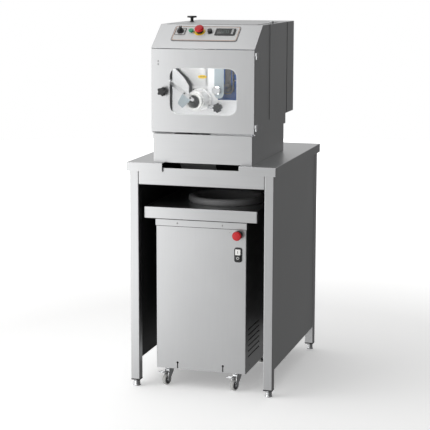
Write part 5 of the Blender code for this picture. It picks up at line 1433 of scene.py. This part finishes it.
for k in range(49):
    a = 2 * math.pi * 1.22 * k / 48 + 2.3
    z = disc + 0.01 + 0.074 * k / 48
    r0, r1 = 0.033, 0.118 - 0.03 * k / 48
    section = ((r0, -0.0034), (r1 - 0.002, -0.0028), (r1, 0.0), (r1 - 0.002, 0.0028), (r0, 0.0034))
    rows.append([(bowl_x + r * math.cos(a), bowl_y + r * math.sin(a), z + t) for r, t in section])
worm.strip(rows)
worm.keep("rounding_spiral", coating, "rounding_screw", body="rounding_screw", sharp=50)
low_m, high_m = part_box("rounder_gearmotor")
half = (high_m.x - low_m.x) / 2
gear = Piece()
box_bottom = high_m.z - 0.104
gear.slab(box_outline((bowl_x - half, bowl_x + half), (bowl_y - half, bowl_y + half), 0.014, 5),
          box_bottom, high_m.z, "Z", edge=0.003)
gear.slab(fin_outline((bowl_x, bowl_y), 0.0495, 0.0548, 26), low_m.z + 0.03, box_bottom + 0.002,
          "Z")
gear.lathe([(0, 0), (0.0485, 0), (0.0548, 0.007), (0.0548, 0.04), (0, 0.04)],
           (bowl_x, bowl_y, low_m.z), (0, 0, 1), 48)
gear.block((bowl_x - 0.03, bowl_y - 0.065, low_m.z + 0.09),
           (bowl_x + 0.03, bowl_y - 0.04, low_m.z + 0.16), 0.003)
gear.keep("rounder_drive", cast, "rounder_gearmotor", body="cart", sharp=30)
print("bowl", round((bowl_high.x - bowl_low.x) * 1000), "mm across, rim",
      round((bowl_high.z - top_of_tray) * 1000), "mm over the tray")

# %% Stop button and switch keys on the cart
front_y = low.y
stop_push = Piece()
stop_push.rod(0.0098, (stop_x, button_high.y, stop_z), (stop_x, button_low.y + 0.01, stop_z), 32)
deep = button_high.y - button_low.y
stop_push.lathe(
    [(0, deep - 0.014), (0.015, deep - 0.014), (0.0188, deep - 0.0128), (0.02, deep - 0.01),
     (0.0197, deep - 0.0052), (0.0165, deep - 0.0012), (0.009, deep), (0, deep)],
    (stop_x, button_high.y, stop_z), (0, -1, 0), 64)
stop_push.keep("cart_stop_mushroom", red, "cart_stop_button", body="cart_stop_button")
Piece().lathe(
    [(0.0108, 0), (0.0185, 0), (0.0185, 0.006), (0.0172, 0.0085), (0.015, 0.0095), (0.015, 0.016),
     (0.0108, 0.016)], (stop_x, front_y - 0.0002, stop_z), (0, -1, 0), 48).keep("cart_stop_neck",
         black, body="cart")
bezel_z, bezel_x = (frame_high.z - frame_low.z) / 2, (frame_high.x - frame_low.x) / 2
surround = Piece()
outer = box_outline((pair_x - bezel_x, pair_x + bezel_x), (pair_z - bezel_z, pair_z + bezel_z),
                    0.012, 6)
inner_edge = box_outline(around(pair_x, 0.0122), around(pair_z, 0.0257), 0.0018, 6)
surround.slab(outer, frame_low.y, frame_high.y, hole=inner_edge, edge=0.0009)
surround.keep("key_surround", black, "switch_frame", body="cart")
for node, skin, sign in (("cart_start_button", white, 1), ("cart_off_button", black, -1)):
    key_low, key_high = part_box(node)
    Piece().slab(box_outline((key_low.x, key_high.x), (key_low.z, key_high.z), 0.0022, 4),
                 key_low.y + 0.0002, key_high.y, edge=0.001).keep(node + "_cap", skin, node,
                     body=node)
    mark = Piece()
    middle = ((key_low.x + key_high.x) / 2, (key_low.z + key_high.z) / 2)
    if sign > 0:
        mark.slab(
            box_outline((middle[0] - 0.0011, middle[0] + 0.0011),
                        (middle[1] - 0.006, middle[1] + 0.006), 0.0008, 3), key_low.y,
            key_low.y + 0.0006)
    else:
        mark.slab(disc_outline(middle, 0.0058, 36), key_low.y, key_low.y + 0.0006,
                  hole=disc_outline(middle, 0.0042, 36))
    mark.keep(node + "_mark", black if sign > 0 else white, body=node)
print("stop button", round(deep * 1000), "mm deep with its stem")

# %% [markdown]
# ## Four castors
#
# Each castor is pressed and plated: a bearing head, a fork with two drop-shaped arms, a
# grey tread on a rim painted dark as the shaded side of the wheel, and on the front pair
# a brake pedal. They stand turned by the same angle, so one local frame serves each of them.

# %% Forks, wheels and pedals
TURNED = math.radians(-20)
TRAIL, AXLE = 0.022, 0.025
for corner in CORNERS:
    x, y = joints["castor_swivel_" + corner]["pos_m"][:2]
    stand = Matrix.Translation((x, y, 0)) @ Matrix.Rotation(TURNED, 4, "Z")
    fork = Piece(stand)
    fork.lathe(
        [(0, 0.066), (0.015, 0.066), (0.018, 0.0672), (0.0205, 0.07), (0.0209, 0.0735),
         (0.0185, 0.0742), (0.0182, 0.0752), (0.0209, 0.076), (0.0209, 0.0784), (0, 0.0784)],
        (0, 0, 0), sides=48)
    fork.block((-0.0128, -0.02, 0.0615), (0.0128, 0.016, 0.069), 0.0022)
    side = [(0.0155, 0.0685), (0.013, 0.06), (-0.006, 0.033), (-0.014, 0.0195), (-0.02, 0.016),
            (-0.026, 0.0165), (-0.0305, 0.0215), (-0.0305, 0.03), (-0.025, 0.05), (-0.0205, 0.0685)]
    for x0, x1 in ((-0.0129, -0.0106), (0.0106, 0.0129)):
        fork.slab(eased(side, 0.006, 3), x0, x1, "X", edge=0.0006)
    fork.rod(0.0038, (-0.0145, -TRAIL, AXLE), (0.0145, -TRAIL, AXLE), 24)
    for sign in (-1, 1):
        fork.lathe([(0, 0), (0.0062, 0), (0.0062, 0.0022), (0.005, 0.003), (0, 0.003)],
                   (sign * 0.0128, -TRAIL, AXLE), (sign, 0, 0), 6)
    fork.keep("fork_" + corner, chrome, "castor_fork_" + corner, body="castor_" + corner, sharp=30)
    Piece(stand @ Matrix.Translation((0, -TRAIL, AXLE))).lathe(
        [(0.0178, -0.0078), (0.0225, -0.0085), (0.0243, -0.0068), (0.0249, -0.0035), (0.025, 0.0),
         (0.0249, 0.0035), (0.0243, 0.0068), (0.0225, 0.0085), (0.0178, 0.0078)], (0, 0, 0),
        (1, 0, 0), 72).keep("tread_" + corner, tread, "castor_wheel_" + corner,
                            body="wheel_" + corner)
    # The wheel centre is coloured dark as painted shade on the wheel's side
    Piece(stand @ Matrix.Translation((0, -TRAIL, AXLE))).lathe(
        [(0.0042, -0.0084), (0.0085, -0.0084), (0.0095, -0.0072), (0.012, -0.0058), (0.016, -0.006),
         (0.018, -0.008), (0.0184, -0.008), (0.0184, 0.008), (0.018, 0.008), (0.016, 0.006),
         (0.012, 0.0058), (0.0095, 0.0072), (0.0085, 0.0084), (0.0042, 0.0084)], (0, 0, 0),
        (1, 0, 0), 60).keep("wheel_rim_" + corner, wheel_side_shade, body="wheel_" + corner)
    if "front" in corner:
        pedal = Piece(stand)
        lever = [(-0.033, 0.0565), (-0.033, 0.0625), (-0.0385, 0.0665), (-0.05, 0.068),
                 (-0.062, 0.069), (-0.0675, 0.068), (-0.067, 0.0655), (-0.06, 0.065),
                 (-0.048, 0.0635), (-0.041, 0.06), (-0.0395, 0.057)]
        pedal.slab(eased(lever, 0.0025, 3), -0.0122, 0.0122, "X", edge=0.0007)
        for k in range(4):
            px = -0.0505 - 0.0042 * k
            pedal.rod(0.0006, (-0.0095, px, 0.0684 + 0.0001 * k), (0.0095, px, 0.0684 + 0.0001 * k),
                      10)
        pedal.keep("pedal_" + corner, chrome, "brake_pedal_" + corner, body="brake_" + corner,
                   sharp=30)
    print(corner, "castor at", round(x * 1000), round(y * 1000))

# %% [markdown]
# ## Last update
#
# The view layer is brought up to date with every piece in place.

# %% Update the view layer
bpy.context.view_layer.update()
